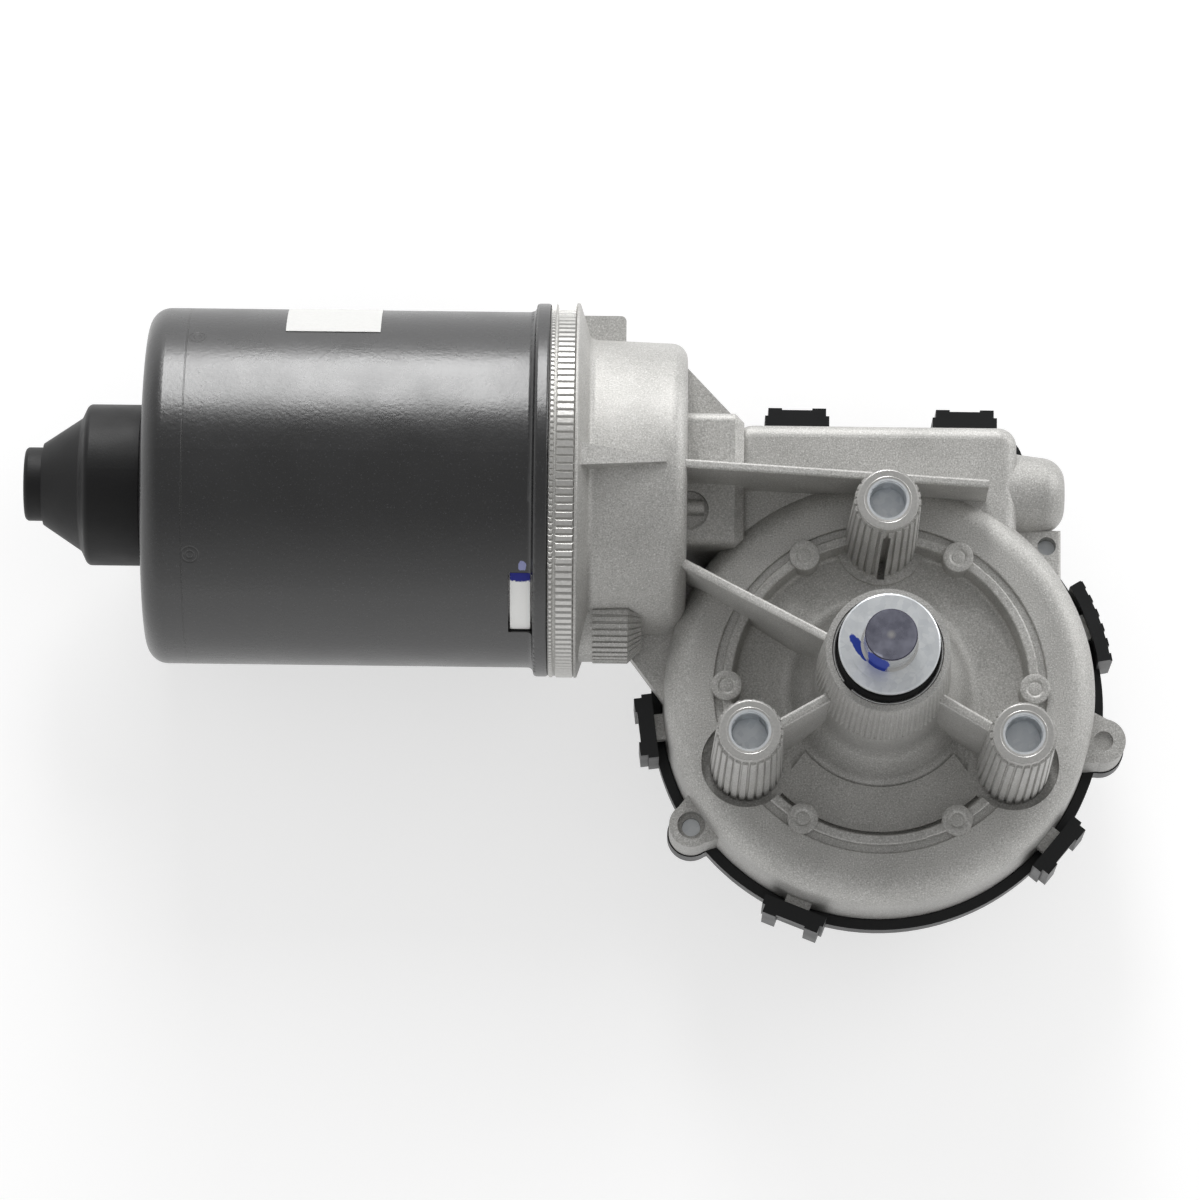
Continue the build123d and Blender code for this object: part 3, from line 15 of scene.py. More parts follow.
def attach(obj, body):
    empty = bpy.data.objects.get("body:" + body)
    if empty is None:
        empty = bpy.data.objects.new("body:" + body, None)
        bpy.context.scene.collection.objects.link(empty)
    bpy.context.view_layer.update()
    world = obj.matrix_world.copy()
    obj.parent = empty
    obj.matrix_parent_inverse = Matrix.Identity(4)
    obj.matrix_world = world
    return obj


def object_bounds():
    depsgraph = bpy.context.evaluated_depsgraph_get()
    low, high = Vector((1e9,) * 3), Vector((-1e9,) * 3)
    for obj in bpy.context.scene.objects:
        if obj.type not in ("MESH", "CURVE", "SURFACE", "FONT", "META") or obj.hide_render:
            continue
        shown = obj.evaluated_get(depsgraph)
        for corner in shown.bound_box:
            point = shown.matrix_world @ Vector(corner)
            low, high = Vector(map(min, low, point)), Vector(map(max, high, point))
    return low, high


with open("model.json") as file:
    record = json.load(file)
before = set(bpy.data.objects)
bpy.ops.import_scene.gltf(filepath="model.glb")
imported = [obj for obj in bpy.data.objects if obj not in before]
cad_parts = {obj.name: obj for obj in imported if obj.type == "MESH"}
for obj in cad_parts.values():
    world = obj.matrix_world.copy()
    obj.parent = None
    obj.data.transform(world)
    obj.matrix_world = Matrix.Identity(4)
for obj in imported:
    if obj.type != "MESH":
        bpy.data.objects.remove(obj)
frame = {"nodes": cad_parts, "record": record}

MM = 0.001
nodes = frame["nodes"]
bounds_at_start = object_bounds()
print(len(nodes), "solids between", bounds_at_start[0], "and", bounds_at_start[1])

# %% [markdown]
# ## Materials
# A material is a net of nodes that ends in one Principled shader. Every pattern reads Object coordinates,
# which are metres on the part, so a pattern stays where it is put, and its scale is one over a size in
# metres. One helper adds any node. Its inputs are given by name, or by number where that is shorter or a
# name comes twice: Map Range takes its value at 0, the range that comes in at 1 and 2, and the range that
# goes out at 3 and 4. Mix takes the share at 0 and its two colours at 6 and 7, and gives the colour at 2.

# %% Colours, scales and nodes
def linear(hex_colour):
    """Linear colour from an sRGB hex text."""
    values = [int(hex_colour[i:i + 2], 16) / 255 for i in (1, 3, 5)]
    return tuple(v / 12.92 if v <= 0.04045 else ((v + 0.055) / 1.055) ** 2.4 for v in values) + (1.0,)


def scale(size_mm):
    """Scale of a pattern whose features are size_mm across."""
    return 1 / (size_mm * MM)


def feed(node, inputs):
    """Fills inputs by name or number. A socket is linked, and anything else is a plain value."""
    for key, value in inputs.items():
        if isinstance(value, bpy.types.NodeSocket):
            node.id_data.links.new(value, node.inputs[key])
        else:
            node.inputs[key].default_value = value


def add_node(tree, kind, inputs, output=0, **settings):
    """Adds a node with its settings and inputs, and returns one of its outputs."""
    node = tree.nodes.new("ShaderNode" + kind)
    for name, value in settings.items():
        setattr(node, name, value)
    feed(node, inputs)
    return node.outputs[output]


def new_material(name, colour, roughness, metallic=0.0, specular=0.5):
    """A Principled material. Returns it with its node tree, its shader and Object coordinates."""
    material = bpy.data.materials.new(name)
    material.use_nodes = True
    tree = material.node_tree
    shader = tree.nodes["Principled BSDF"]
    feed(shader, {"Base Color": linear(colour), "Roughness": roughness, "Metallic": metallic})
    feed(shader, {"Specular IOR Level": specular})
    return material, tree, shader, add_node(tree, "TexCoord", {}, "Object")


slot_materials = {}


def keep(slot, material):
    """Keeps the material that a slot of the record gets."""
    slot_materials[slot] = material
    print(f"{slot}: {material.name}, {len(material.node_tree.nodes)} nodes")


# %% [markdown]
# ### A soft-edged patch
# Trimmed spots and strokes of marking paint have a place, a size and an edge. An image could carry them, but
# then every piece needs an unwrapping. A Mapping node does it from the place alone: it turns the place into
# a vector that is 1 long on the patch's edge. Noise is added before the cut, so the edge is ragged, as a
# stroke from a paint stick is.

# %% A soft-edged patch
edge_grain_mm = 1.2
edge_starts, edge_ends = 0.92, 1.05


def patch(tree, where, middle_mm, half_mm, turn_deg=(0, 0, 0), ragged=0.25):
    """One inside an ellipsoid round middle_mm, nought outside it."""
    place = {
        "Vector": where,
        "Location": [v * MM for v in middle_mm],
        "Rotation": [math.radians(v) for v in turn_deg],
        "Scale": [v * MM for v in half_mm],
    }
    local = add_node(tree, "Mapping", place, vector_type="TEXTURE")
    reach = add_node(tree, "VectorMath", {0: local}, "Value", operation="LENGTH")
    grainy = {"Vector": where, "Scale": scale(edge_grain_mm), "Detail": 3.0, "Roughness": 0.55}
    grain = add_node(tree, "TexNoise", grainy)
    frayed = add_node(tree, "MapRange", {0: grain, 1: 0.3, 2: 0.7, 3: -ragged, 4: ragged})
    total = add_node(tree, "Math", {0: reach, 1: frayed}, operation="ADD")
    return add_node(tree, "MapRange", {0: total, 1: edge_starts, 2: edge_ends, 3: 1.0, 4: 0.0})


# %% [markdown]
# ### Cast aluminium
# Pressure die casting leaves a pale grey skin. It is blasted after the flash is trimmed, so it has a fine
# grain that scatters light, and broad faint clouds where the metal ran cold. The boss that shows in the
# can's window is trimmed pale, and a dab of blue marking paint sits on it. The grain is noise that raises
# peaks and sinks pits by a bump. Its low values are also drawn darker, as painted shade in the pits, and its
# high values brighter, as painted glints on the peaks, because even noise looks like dust. A real blasted
# grain is finer than 0.32 mm, but it would not show at this size, so it is drawn that coarse.

# %% Cast aluminium
blast_grain_mm, cold_flow_mm = 0.32, 14.0
window_boss, window_boss_half = (-77.3, 15.3, -28.3), (3.6, 9.5, 9.5)
boss_dab, boss_dab_half = (-77.3, 20.3, -23.2), (3.0, 1.5, 1.5)


def cast_aluminium():
    material, tree, shader, where = new_material("cast aluminium", "#bdbcb9", 0.55, 0.6)
    blasted = {"Vector": where, "Scale": scale(blast_grain_mm), "Detail": 2.0, "Roughness": 0.6}
    grain = add_node(tree, "TexNoise", blasted)
    clouded = {"Vector": where, "Scale": scale(cold_flow_mm), "Detail": 3.0, "Roughness": 0.55}
    flow = add_node(tree, "TexNoise", clouded)
    tone = add_node(tree, "MapRange", {0: flow, 1: 0.35, 2: 0.65, 3: 0.0, 4: 1.0})
    broad = add_node(tree, "Mix", {0: tone, 6: linear("#b4b3b0"), 7: linear("#c2c1be")}, 2, data_type="RGBA")
    # Painted shade: low grain values darken the pits.
    pit_shade = add_node(tree, "MapRange", {0: grain, 1: 0.28, 2: 0.5, 3: 0.6, 4: 0.0})
    pit_shaded = add_node(tree, "Mix", {0: pit_shade, 6: broad, 7: linear("#7f7e7b")}, 2, data_type="RGBA")
    # Painted glints: high grain values brighten the peaks.
    peak_glints = add_node(tree, "MapRange", {0: grain, 1: 0.54, 2: 0.72, 3: 0.0, 4: 0.7})
    skin = add_node(tree, "Mix", {0: peak_glints, 6: pit_shaded, 7: linear("#e6e6e4")}, 2, data_type="RGBA")
    trimmed = patch(tree, where, window_boss, window_boss_half, ragged=0.0)
    boss = add_node(tree, "Mix", {0: trimmed, 6: skin, 7: linear("#f0f0ee")}, 2, data_type="RGBA")
    dab = patch(tree, where, boss_dab, boss_dab_half)
    painted = add_node(tree, "Mix", {0: dab, 6: boss, 7: linear("#2a2f86")}, 2, data_type="RGBA")
    dull = add_node(tree, "MapRange", {0: grain, 1: 0.3, 2: 0.7, 3: 0.48, 4: 0.62})
    relief = add_node(tree, "Bump", {"Strength": 1.0, "Distance": 0.04 * MM, "Height": grain})
    feed(shader, {"Base Color": painted, "Roughness": dull, "Normal": relief})
    return material


keep("cast_aluminium", cast_aluminium())

# %% [markdown]
# ### Trimmed aluminium
# The flange's ridges and the posts' faces are bright bare metal, with light scuffs, against the duller skin
# around them. It is the casting's own metal with less roughness, so it gives back sharper lights.

# %% Trimmed aluminium
scuff_mm = 0.5


def trimmed_aluminium():
    material, tree, shader, where = new_material("trimmed aluminium", "#c9c8c5", 0.34, 0.85)
    scuffed = {"Vector": where, "Scale": scale(scuff_mm), "Detail": 2.0, "Roughness": 0.55}
    scuff = add_node(tree, "TexNoise", scuffed)
    bare = add_node(tree, "Mix", {0: scuff, 6: linear("#b8b7b4"), 7: linear("#d8d7d4")}, 2, data_type="RGBA")
    relief = add_node(tree, "Bump", {"Strength": 1.0, "Distance": 0.03 * MM, "Height": scuff})
    feed(shader, {"Base Color": bare, "Normal": relief})
    return material


bright_metal = trimmed_aluminium()
print(bright_metal.name, len(bright_metal.node_tree.nodes), "nodes")

# %% [markdown]
# ### A narrow line
# Press marks are fine grooves at a known distance from a plane or a point. A groove could be cut into the
# mesh, but these are too shallow to change an outline, so a line is drawn where a distance passes a middle.
# The can's material darkens it, as painted shade in the groove, and sinks it by a bump.

# %% A narrow line
def line(tree, value, middle_mm, half_mm):
    """One where value, in metres, is within half_mm of middle_mm, and nought away from it."""
    offset = add_node(tree, "Math", {0: value, 1: middle_mm * MM}, operation="SUBTRACT")
    size = add_node(tree, "Math", {0: offset}, operation="ABSOLUTE")
    return add_node(tree, "MapRange", {0: size, 1: 0.5 * half_mm * MM, 2: half_mm * MM, 3: 1.0, 4: 0.0})


# %% [markdown]
# ### Can paint
# The can is dipped after drawing, so the black skin is satin with a fine orange peel, and dust shows on it.
# A faint line runs round it where the rear corner starts, with two round press marks beside it. They are sunk
# by a bump and also drawn near black, which is painted shade in their grooves. A dab of marking paint sits
# above the window. The marks are places on the can, given by x and by the angle round the motor's axis,
# because that is how they are read off a round piece. The specks of dust are drawn larger than real ones,
# which would not show.

# %% Can paint
motor_y, motor_z, can_r = 45.0, -52.0, 38.6
can_line, can_line_half = -149.4, 0.16
can_marks = [(-147.2, 46.4), (-147.5, 124.0)]
mark_rings, mark_ring_half = (1.75, 0.8), 0.26
window_dab, window_dab_half = (-76.9, 126.6), (0.9, 1.2, 1.2)
peel_mm, paint_cloud_mm, dust_mm = 0.9, 12.0, 0.35


def can_point(x, angle):
    """Point on the can, by the angle round the motor axis from +Y toward +Z."""
    turn = math.radians(angle)
    return Vector((x, motor_y + can_r * math.cos(turn), motor_z + can_r * math.sin(turn)))


def can_paint():
    material, tree, shader, where = new_material("black can paint", "#0e0e0f", 0.27, specular=1.0)
    peeled = {"Vector": where, "Scale": scale(peel_mm), "Detail": 2.0, "Roughness": 0.6}
    peel = add_node(tree, "TexNoise", peeled)
    clouded = {"Vector": where, "Scale": scale(paint_cloud_mm), "Detail": 4.0, "Roughness": 0.6}
    cloud = add_node(tree, "TexNoise", clouded)
    dusted = {"Vector": where, "Scale": scale(dust_mm), "Detail": 2.0, "Roughness": 0.55}
    specks = add_node(tree, "TexNoise", dusted)
    dust = add_node(tree, "MapRange", {0: specks, 1: 0.62, 2: 0.72, 3: 0.0, 4: 0.5})
    pressed_and_shaded = line(tree, add_node(tree, "SeparateXYZ", {"Vector": where}, "X"), can_line, can_line_half)
    for x, angle in can_marks:
        middle = can_point(x, angle) * MM
        reach = add_node(tree, "VectorMath", {0: where, 1: middle}, "Value", operation="DISTANCE")
        for ring in mark_rings:
            mark = line(tree, reach, ring, mark_ring_half)
            pressed_and_shaded = add_node(tree, "Math", {0: pressed_and_shaded, 1: mark}, operation="MAXIMUM")
    base = add_node(tree, "Mix", {0: cloud, 6: linear("#0a0a0b"), 7: linear("#151517")}, 2, data_type="RGBA")
    dusty = add_node(tree, "Mix", {0: dust, 6: base, 7: linear("#505054")}, 2, data_type="RGBA")
    # Painted shade: the pressed lines are drawn near black in their grooves.
    skin = add_node(tree, "Mix", {0: pressed_and_shaded, 6: dusty, 7: linear("#020202")}, 2, data_type="RGBA")
    dab = patch(tree, where, can_point(*window_dab), window_dab_half, ragged=0.2)
    painted = add_node(tree, "Mix", {0: dab, 6: skin, 7: linear("#8f94c4")}, 2, data_type="RGBA")
    dull = add_node(tree, "MapRange", {0: cloud, 1: 0.35, 2: 0.65, 3: 0.25, 4: 0.31})
    height = add_node(tree, "Math", {0: pressed_and_shaded, 1: -2.0, 2: peel}, operation="MULTIPLY_ADD")
    relief = add_node(tree, "Bump", {"Strength": 1.0, "Distance": 0.04 * MM, "Height": height})
    feed(shader, {"Base Color": painted, "Roughness": dull, "Normal": relief})
    return material


keep("can_paint", can_paint())

# %% [markdown]
# ### Moulded rubber and plastic
# The rear cap is moulded rubber, the back cover moulded plastic and the worm wheel moulded acetal. They come
# from the mould with one even fine grain and no tool marks. Rubber is the dullest and darkest, the cover has
# a weak sheen that shows as a soft grey edge, and acetal is a milky white. One function makes all three,
# because only colour, sheen and grain tell them apart. Broad patches of wear keep the sheen from being even.

# %% Moulded rubber and plastic
wear_mm = 11.0


def moulded(name, colour, roughness, grain_mm, depth_mm, specular=0.5):
    material, tree, shader, where = new_material(name, colour, roughness, specular=specular)
    grainy = {"Vector": where, "Scale": scale(grain_mm), "Detail": 3.0, "Roughness": 0.55}
    grain = add_node(tree, "TexNoise", grainy)
    worn = {"Vector": where, "Scale": scale(wear_mm), "Detail": 3.0, "Roughness": 0.55}
    wear = add_node(tree, "TexNoise", worn)
    low, high = roughness - 0.07, roughness + 0.07
    dull = add_node(tree, "MapRange", {0: wear, 1: 0.3, 2: 0.7, 3: low, 4: high})
    relief = add_node(tree, "Bump", {"Strength": 1.0, "Distance": depth_mm * MM, "Height": grain})
    feed(shader, {"Roughness": dull, "Normal": relief})
    return material


keep("black_rubber", moulded("black rubber", "#121213", 0.5, grain_mm=0.5, depth_mm=0.03, specular=0.35))
keep("black_plastic", moulded("black plastic", "#131415", 0.4, grain_mm=0.3, depth_mm=0.02, specular=0.4))
keep("wheel_plastic", moulded("natural acetal", "#d8d2c2", 0.4, grain_mm=0.8, depth_mm=0.01))

# %% [markdown]
# ### Zinc plate
# Bright zinc plate has a cool tint and a faint crystal pattern. Noise has no crystals in it, so Voronoi cells
# give each one its own shade. They are drawn coarser than real ones, to show. The stepped washer has a
# stroke of blue paint over its edge, put there when the motor was tested.

# %% Zinc plate
crystal_mm, haze_mm, plate_grain_mm = 1.1, 2.5, 0.4
washer_stroke, washer_stroke_half, washer_stroke_turn = (-6.3, -0.9, 11.8), (3.5, 1.0, 2.0), (0, 0, -56)


def plated_zinc():
    material, tree, shader, where = new_material("plated zinc", "#e0e3e6", 0.34, 0.65)
    crystals = add_node(tree, "TexVoronoi", {"Vector": where, "Scale": scale(crystal_mm)}, "Color")
    shade = add_node(tree, "RGBToBW", {"Color": crystals})
    plate = add_node(tree, "Mix", {0: shade, 6: linear("#d6dade"), 7: linear("#e8ebed")}, 2, data_type="RGBA")
    stroke = patch(tree, where, washer_stroke, washer_stroke_half, washer_stroke_turn, ragged=0.12)
    painted = add_node(tree, "Mix", {0: stroke, 6: plate, 7: linear("#3247a6")}, 2, data_type="RGBA")
    hazy = {"Vector": where, "Scale": scale(haze_mm), "Detail": 3.0, "Roughness": 0.55}
    haze = add_node(tree, "TexNoise", hazy)
    dull = add_node(tree, "MapRange", {0: haze, 1: 0.3, 2: 0.7, 3: 0.3, 4: 0.42})
    grainy = {"Vector": where, "Scale": scale(plate_grain_mm), "Detail": 3.0, "Roughness": 0.55}
    grain = add_node(tree, "TexNoise", grainy)
    relief = add_node(tree, "Bump", {"Strength": 1.0, "Distance": 0.012 * MM, "Height": grain})
    feed(shader, {"Base Color": painted, "Roughness": dull, "Normal": relief})
    return material


keep("zinc_plate", plated_zinc())

# %% [markdown]
# ### Turned steel
# Ground and turned faces keep fine rings round the axis and are bright. The end of the output shaft is dark,
# oiled steel with a pale dimple from the lathe's centre, and a stroke of blue marking paint crosses from
# the washer to the shaft's side. A still darker ring round the end's edge is painted shade. The rings are
# noise that reads the height alone, and the end is told from the side by that height too. Paint is no metal,
# so the stroke takes the metal and the shine away. The rings are drawn coarser than a fine lathe feed, which
# would not show.

# %% Turned steel
lathe_feed_mm, oil_stain_mm = 0.22, 4.0
shaft_end_z, edge_shade_r, dimple_r = 21.8, 5.15, 1.1
shaft_stroke, shaft_stroke_half, shaft_stroke_turn = (-2.7, -4.7, 16.0), (2.9, 1.6, 6.5), (0, 0, -30)


def turned_steel():
    material, tree, shader, where = new_material("turned steel", "#dddddc", 0.26, 1.0)
    along = add_node(tree, "SeparateXYZ", {"Vector": where}, "Z")
    turned = {"W": along, "Scale": scale(lathe_feed_mm), "Detail": 2.0}
    rings = add_node(tree, "TexNoise", turned, noise_dimensions="1D")
    stained = {"Vector": where, "Scale": scale(oil_stain_mm), "Detail": 3.0, "Roughness": 0.55}
    stain = add_node(tree, "TexNoise", stained)
    flat = add_node(tree, "VectorMath", {0: where, 1: (1, 1, 0)}, operation="MULTIPLY")
    radius = add_node(tree, "VectorMath", {0: flat}, "Value", operation="LENGTH")
    low, high = (shaft_end_z - 0.4) * MM, (shaft_end_z - 0.3) * MM
    end_face = add_node(tree, "MapRange", {0: along, 1: low, 2: high, 3: 0.0, 4: 1.0})
    tone = add_node(tree, "MapRange", {0: stain, 1: 0.35, 2: 0.65, 3: 0.0, 4: 1.0})
    cloud = add_node(tree, "Mix", {0: tone, 6: linear("#7f808f"), 7: linear("#a0a1b0")}, 2, data_type="RGBA")
    dimple = add_node(tree, "MapRange", {0: radius, 1: 0.2 * MM, 2: dimple_r * MM, 3: 0.7, 4: 0.0})
    centred = add_node(tree, "Mix", {0: dimple, 6: cloud, 7: linear("#d8d6d2")}, 2, data_type="RGBA")
    # Painted shade: the end face darkens from this radius out to its edge.
    low, high = edge_shade_r * MM, (edge_shade_r + 0.1) * MM
    edge = add_node(tree, "MapRange", {0: radius, 1: low, 2: high, 3: 0.0, 4: 1.0})
    oiled_end_with_edge_shade = add_node(tree, "Mix", {0: edge, 6: centred, 7: linear("#3c3b48")}, 2, data_type="RGBA")
    stroke = patch(tree, where, shaft_stroke, shaft_stroke_half, shaft_stroke_turn, ragged=0.1)
    side = add_node(tree, "Mix", {0: stroke, 6: linear("#dddddc"), 7: linear("#3247a6")}, 2, data_type="RGBA")
    shown = add_node(tree, "Mix", {0: end_face, 6: side, 7: oiled_end_with_edge_shade}, 2, data_type="RGBA")
    metal = add_node(tree, "MapRange", {0: stroke, 1: 0.0, 2: 1.0, 3: 1.0, 4: 0.0})
    bare = add_node(tree, "MapRange", {0: stain, 1: 0.3, 2: 0.7, 3: 0.2, 4: 0.36})
    matt = add_node(tree, "MapRange", {0: stroke, 1: 0.0, 2: 1.0, 3: 0.0, 4: 0.9})
    dull = add_node(tree, "Math", {0: bare, 1: matt}, operation="MAXIMUM")
    relief = add_node(tree, "Bump", {"Strength": 1.0, "Distance": 0.01 * MM, "Height": rings})
    feed(shader, {"Base Color": shown, "Metallic": metal, "Roughness": dull, "Normal": relief})
    return material


keep("steel", turned_steel())

# %% [markdown]
# ### Metals and boards inside the housing
# Magnets, laminations, windings, bushes, brushes and boards show only when the housing is opened. The eye
# knows them by colour, by whether they are metal and by one even grain: sintered bronze is duller than
# stamped brass, pressed carbon is nearly black and ferrite a dull dark grey. One function is enough.

# %% Metals and boards inside the housing
def grained(name, colour, roughness, metallic, grain_mm=0.5):
    material, tree, shader, where = new_material(name, colour, roughness, metallic)
    even = {"Vector": where, "Scale": scale(grain_mm), "Detail": 3.0, "Roughness": 0.55}
    grain = add_node(tree, "TexNoise", even)
    low, high = roughness - 0.06, roughness + 0.08
    dull = add_node(tree, "MapRange", {0: grain, 1: 0.3, 2: 0.7, 3: low, 4: high})
    relief = add_node(tree, "Bump", {"Strength": 1.0, "Distance": 0.02 * MM, "Height": grain})
    feed(shader, {"Roughness": dull, "Normal": relief})
    return material


keep("ferrite", grained("ferrite", "#2b2b2d", 0.6, 0.2))
keep("lamination", grained("lamination steel", "#5b5c60", 0.45, 1.0))
keep("copper", grained("copper", "#b5683c", 0.35, 1.0))
keep("bronze", grained("sintered bronze", "#8a6a45", 0.5, 1.0, grain_mm=0.3))
keep("brass", grained("brass", "#c9a55a", 0.3, 1.0))
keep("carbon", grained("carbon", "#1c1c1c", 0.55, 0.1))
keep("phenolic", grained("phenolic board", "#5a3a24", 0.6, 0.0, grain_mm=1.2))

# %% [markdown]
# ### Materials onto the solids
# The record names a slot for every solid. A solid keeps its mesh as it is, and gets its slot's material.

# %% Materials onto the solids
node_slots = {entry["node"]: entry["material_slot"] for entry in frame["record"]["subparts"]}
for name, solid in nodes.items():
    solid.data.materials.clear()
    solid.data.materials.append(slot_materials[node_slots[name]])
print(len(nodes), "solids,", len(slot_materials), "materials")

# %% [markdown]
# ## Fine pieces
# Forms that are too small for the solids: the ridged band and the beads round the motor's flange, the caps
# on the six pips, the collars and thread turns of the three inserts, and the paper label on the can. Each
# starts as a primitive and is worked in edit mode, where faces are picked by their place or normal. Its
# place is kept in its mesh, so the object itself stays at the origin, as a solid's does.

# %% Helpers for fine pieces
def pick_faces(piece, wanted):
    """Selects the faces for which wanted is true, and leaves the piece in edit mode."""
    bpy.ops.object.mode_set(mode="OBJECT")
    for vertex in piece.data.vertices:
        vertex.select = False
    for edge in piece.data.edges:
        edge.select = False
    for face in piece.data.polygons:
        face.select = wanted(face)
    bpy.ops.object.mode_set(mode="EDIT")
    bpy.ops.mesh.select_mode(type="FACE")


def settle(piece, material):
    """Ends a fine piece: its material and the body that carries it."""
    if bpy.context.mode != "OBJECT":
        bpy.ops.object.mode_set(mode="OBJECT")
    piece.data.materials.clear()
    piece.data.materials.append(material)
    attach(piece, "housing")
    print(piece.name, len(piece.data.polygons), "faces")


# %% [markdown]
# ### A tube round the motor
# The band, the beads and the label all follow the can, whose axis lies along X. A cylinder stands along Z
# when it is added, so it is turned by a quarter. The turn is then applied, which writes it into the mesh.

# %% A tube round the motor
def round_motor(name, first_x, last_x, r, sides):
    """Open tube round the motor axis between two x, as the active object."""
    bpy.ops.object.select_all(action="DESELECT")
    bpy.ops.mesh.primitive_cylinder_add(
        vertices=sides,
        radius=r * MM,
        depth=(last_x - first_x) * MM,
        end_fill_type="NOTHING",
        location=((first_x + last_x) / 2 * MM, motor_y * MM, motor_z * MM),
        rotation=(0, math.pi / 2, 0),
    )
    tube = bpy.context.object
    tube.name = name
    bpy.ops.object.transform_apply(location=True, rotation=True, scale=True)
    return tube


# %% [markdown]
# ### Ridged band and beads
# The flange's rim is cast with axial ridges, and a row of beads stands beside the can's rim. Each ridge
# could be a small box of its own, but that makes a great many pieces for one rim. A tube with one side for
# each ridge has every face inset and raised instead. Narrow grooves are left between broad ridges.

# %% Ridged band and beads
rim_r, ridge_rise = 40.28, 0.4
ridges_x, ridge_count, ridge_flank = (-70.1, -66.0), 150, 0.36
beads_x, bead_count, bead_flank = (-71.55, -70.4), 200, 0.34


def raised_band(name, first_x, last_x, count, flank):
    band = round_motor(name, first_x, last_x, rim_r, count)
    pick_faces(band, lambda face: True)
    bpy.ops.mesh.inset(thickness=flank * MM, depth=ridge_rise * MM, use_individual=True)
    settle(band, bright_metal)


raised_band("flange_ridges", *ridges_x, ridge_count, ridge_flank)
raised_band("flange_beads", *beads_x, bead_count, bead_flank)

# %% [markdown]
# ### Copies
# The pips are six and the posts three, on a circle round the output shaft. A piece that repeats is modelled
# once on that shaft's axis. Each copy gets its own mesh, because its place is written into it. The copies are
# made before anything moves, and the first piece goes to the first spot.

# %% Copies on a circle
circle_r, near_axis = 33.0, 0.2


def on_circle(r, angle):
    """Spot on a circle round the output shaft, by the angle from +X toward +Y."""
    turn = math.radians(angle)
    return r * math.cos(turn), r * math.sin(turn)


def copy_to_spots(first, name, spots, height_mm):
    """Copies a piece from the axis to every spot at one height, and returns all of them."""
    pieces = [first]
    for _ in spots[1:]:
        piece = first.copy()
        piece.data = first.data.copy()
        bpy.context.collection.objects.link(piece)
        pieces.append(piece)
    for index, (piece, spot) in enumerate(zip(pieces, spots)):
        piece.name = f"{name}_{index + 1}"
        piece.data.transform(Matrix.Translation((spot[0] * MM, spot[1] * MM, height_mm * MM)))
    return pieces


def on_axis(face):
    """True for the face that looks up and has its middle on the axis."""
    return face.normal.z > 0.9 and face.center.xy.length < near_axis * MM


def step_middle(piece, steps):
    """Insets the face on the axis by each width, and moves it up or down by the depth beside it."""
    for width, depth in steps:
        pick_faces(piece, on_axis)
        bpy.ops.mesh.inset(thickness=width * MM, depth=depth * MM)


pip_spots = [on_circle(circle_r, 60 * index) for index in range(6)]
post_spots = [on_circle(circle_r, angle) for angle in (90, 210, 330)]
print(len(pip_spots), "pips and", len(post_spots), "posts")

# %% [markdown]
# ### Pip caps
# Each of the six pips on the ring carries the round print of the tool that pushed the casting out: a rounded
# rim, a sunk ring and a small middle. A turned profile could be spun, but three insets of a cylinder's top
# are quicker: the first leaves the rim, the second goes down with the ring, and the third brings the middle
# up halfway. A bevel then rounds all the edges, which catch the light as a casting's do.

# %% Pip caps
pip_r, pip_top, pip_edge_left = 3.3, -38.65, 0.05
cap_height, cap_stands_out, cap_sides = 0.5, 0.15, 48
cap_steps = [(1.35, 0.0), (0.45, -0.3), (0.2, 0.15)]
cap_round = 0.14

bpy.ops.object.select_all(action="DESELECT")
cap_r = pip_r - pip_edge_left
bpy.ops.mesh.primitive_cylinder_add(vertices=cap_sides, radius=cap_r * MM, depth=cap_height * MM)
cap = bpy.context.object
step_middle(cap, cap_steps)
bpy.ops.object.mode_set(mode="OBJECT")
round_off = cap.modifiers.new("round off", "BEVEL")
round_off.width = cap_round * MM
round_off.segments = 2
round_off.limit_method = "ANGLE"
bpy.ops.object.modifier_apply(modifier="round off")
bpy.ops.object.shade_smooth_by_angle(angle=math.radians(35))
for piece in copy_to_spots(cap, "pip_cap", pip_spots, pip_top + cap_stands_out - cap_height / 2):
    settle(piece, slot_materials["cast_aluminium"])

# %% [markdown]
# ### Insert collars
# A post's face is machined round the insert's mouth, so it is bright beside the duller skin. It has a
# slightly raised flat, one fine sunk line and a lowered inner edge. All of these are less than a tenth of
# a millimetre deep, and a disc with its middle inset five times draws them. The middle is then opened for
# the bolt.

# %% Insert collars
collar_r, collar_lift, collar_sides = 6.35, 0.01, 96
collar_steps = [(0.25, 0.07), (1.05, 0.0), (0.12, -0.05), (0.12, 0.05), (0.35, -0.05)]

bpy.ops.object.select_all(action="DESELECT")
bpy.ops.mesh.primitive_circle_add(vertices=collar_sides, radius=collar_r * MM, fill_type="NGON")
collar = bpy.context.object
step_middle(collar, collar_steps)
pick_faces(collar, on_axis)
bpy.ops.mesh.delete(type="FACE")
bpy.ops.object.mode_set(mode="OBJECT")
for piece in copy_to_spots(collar, "insert_collar", post_spots, collar_lift):
    settle(piece, bright_metal)

# %% [markdown]
# ### Thread turns in the inserts
# An M8 thread is a V that climbs 1.25 mm a turn. Rings stacked along the bore would look alike from above
# but have no climb. A small square stands on one corner at the bore's wall, where its inner corner is the
# crest of the thread, and the screw modifier carries it round. Its faces are then turned outwards.

# %% Thread turns in the inserts
thread_pitch, thread_turns, thread_foot = 1.25, 4.4, -6.5
thread_r, thread_corner = 4.25, 0.62
thread_steps = 128

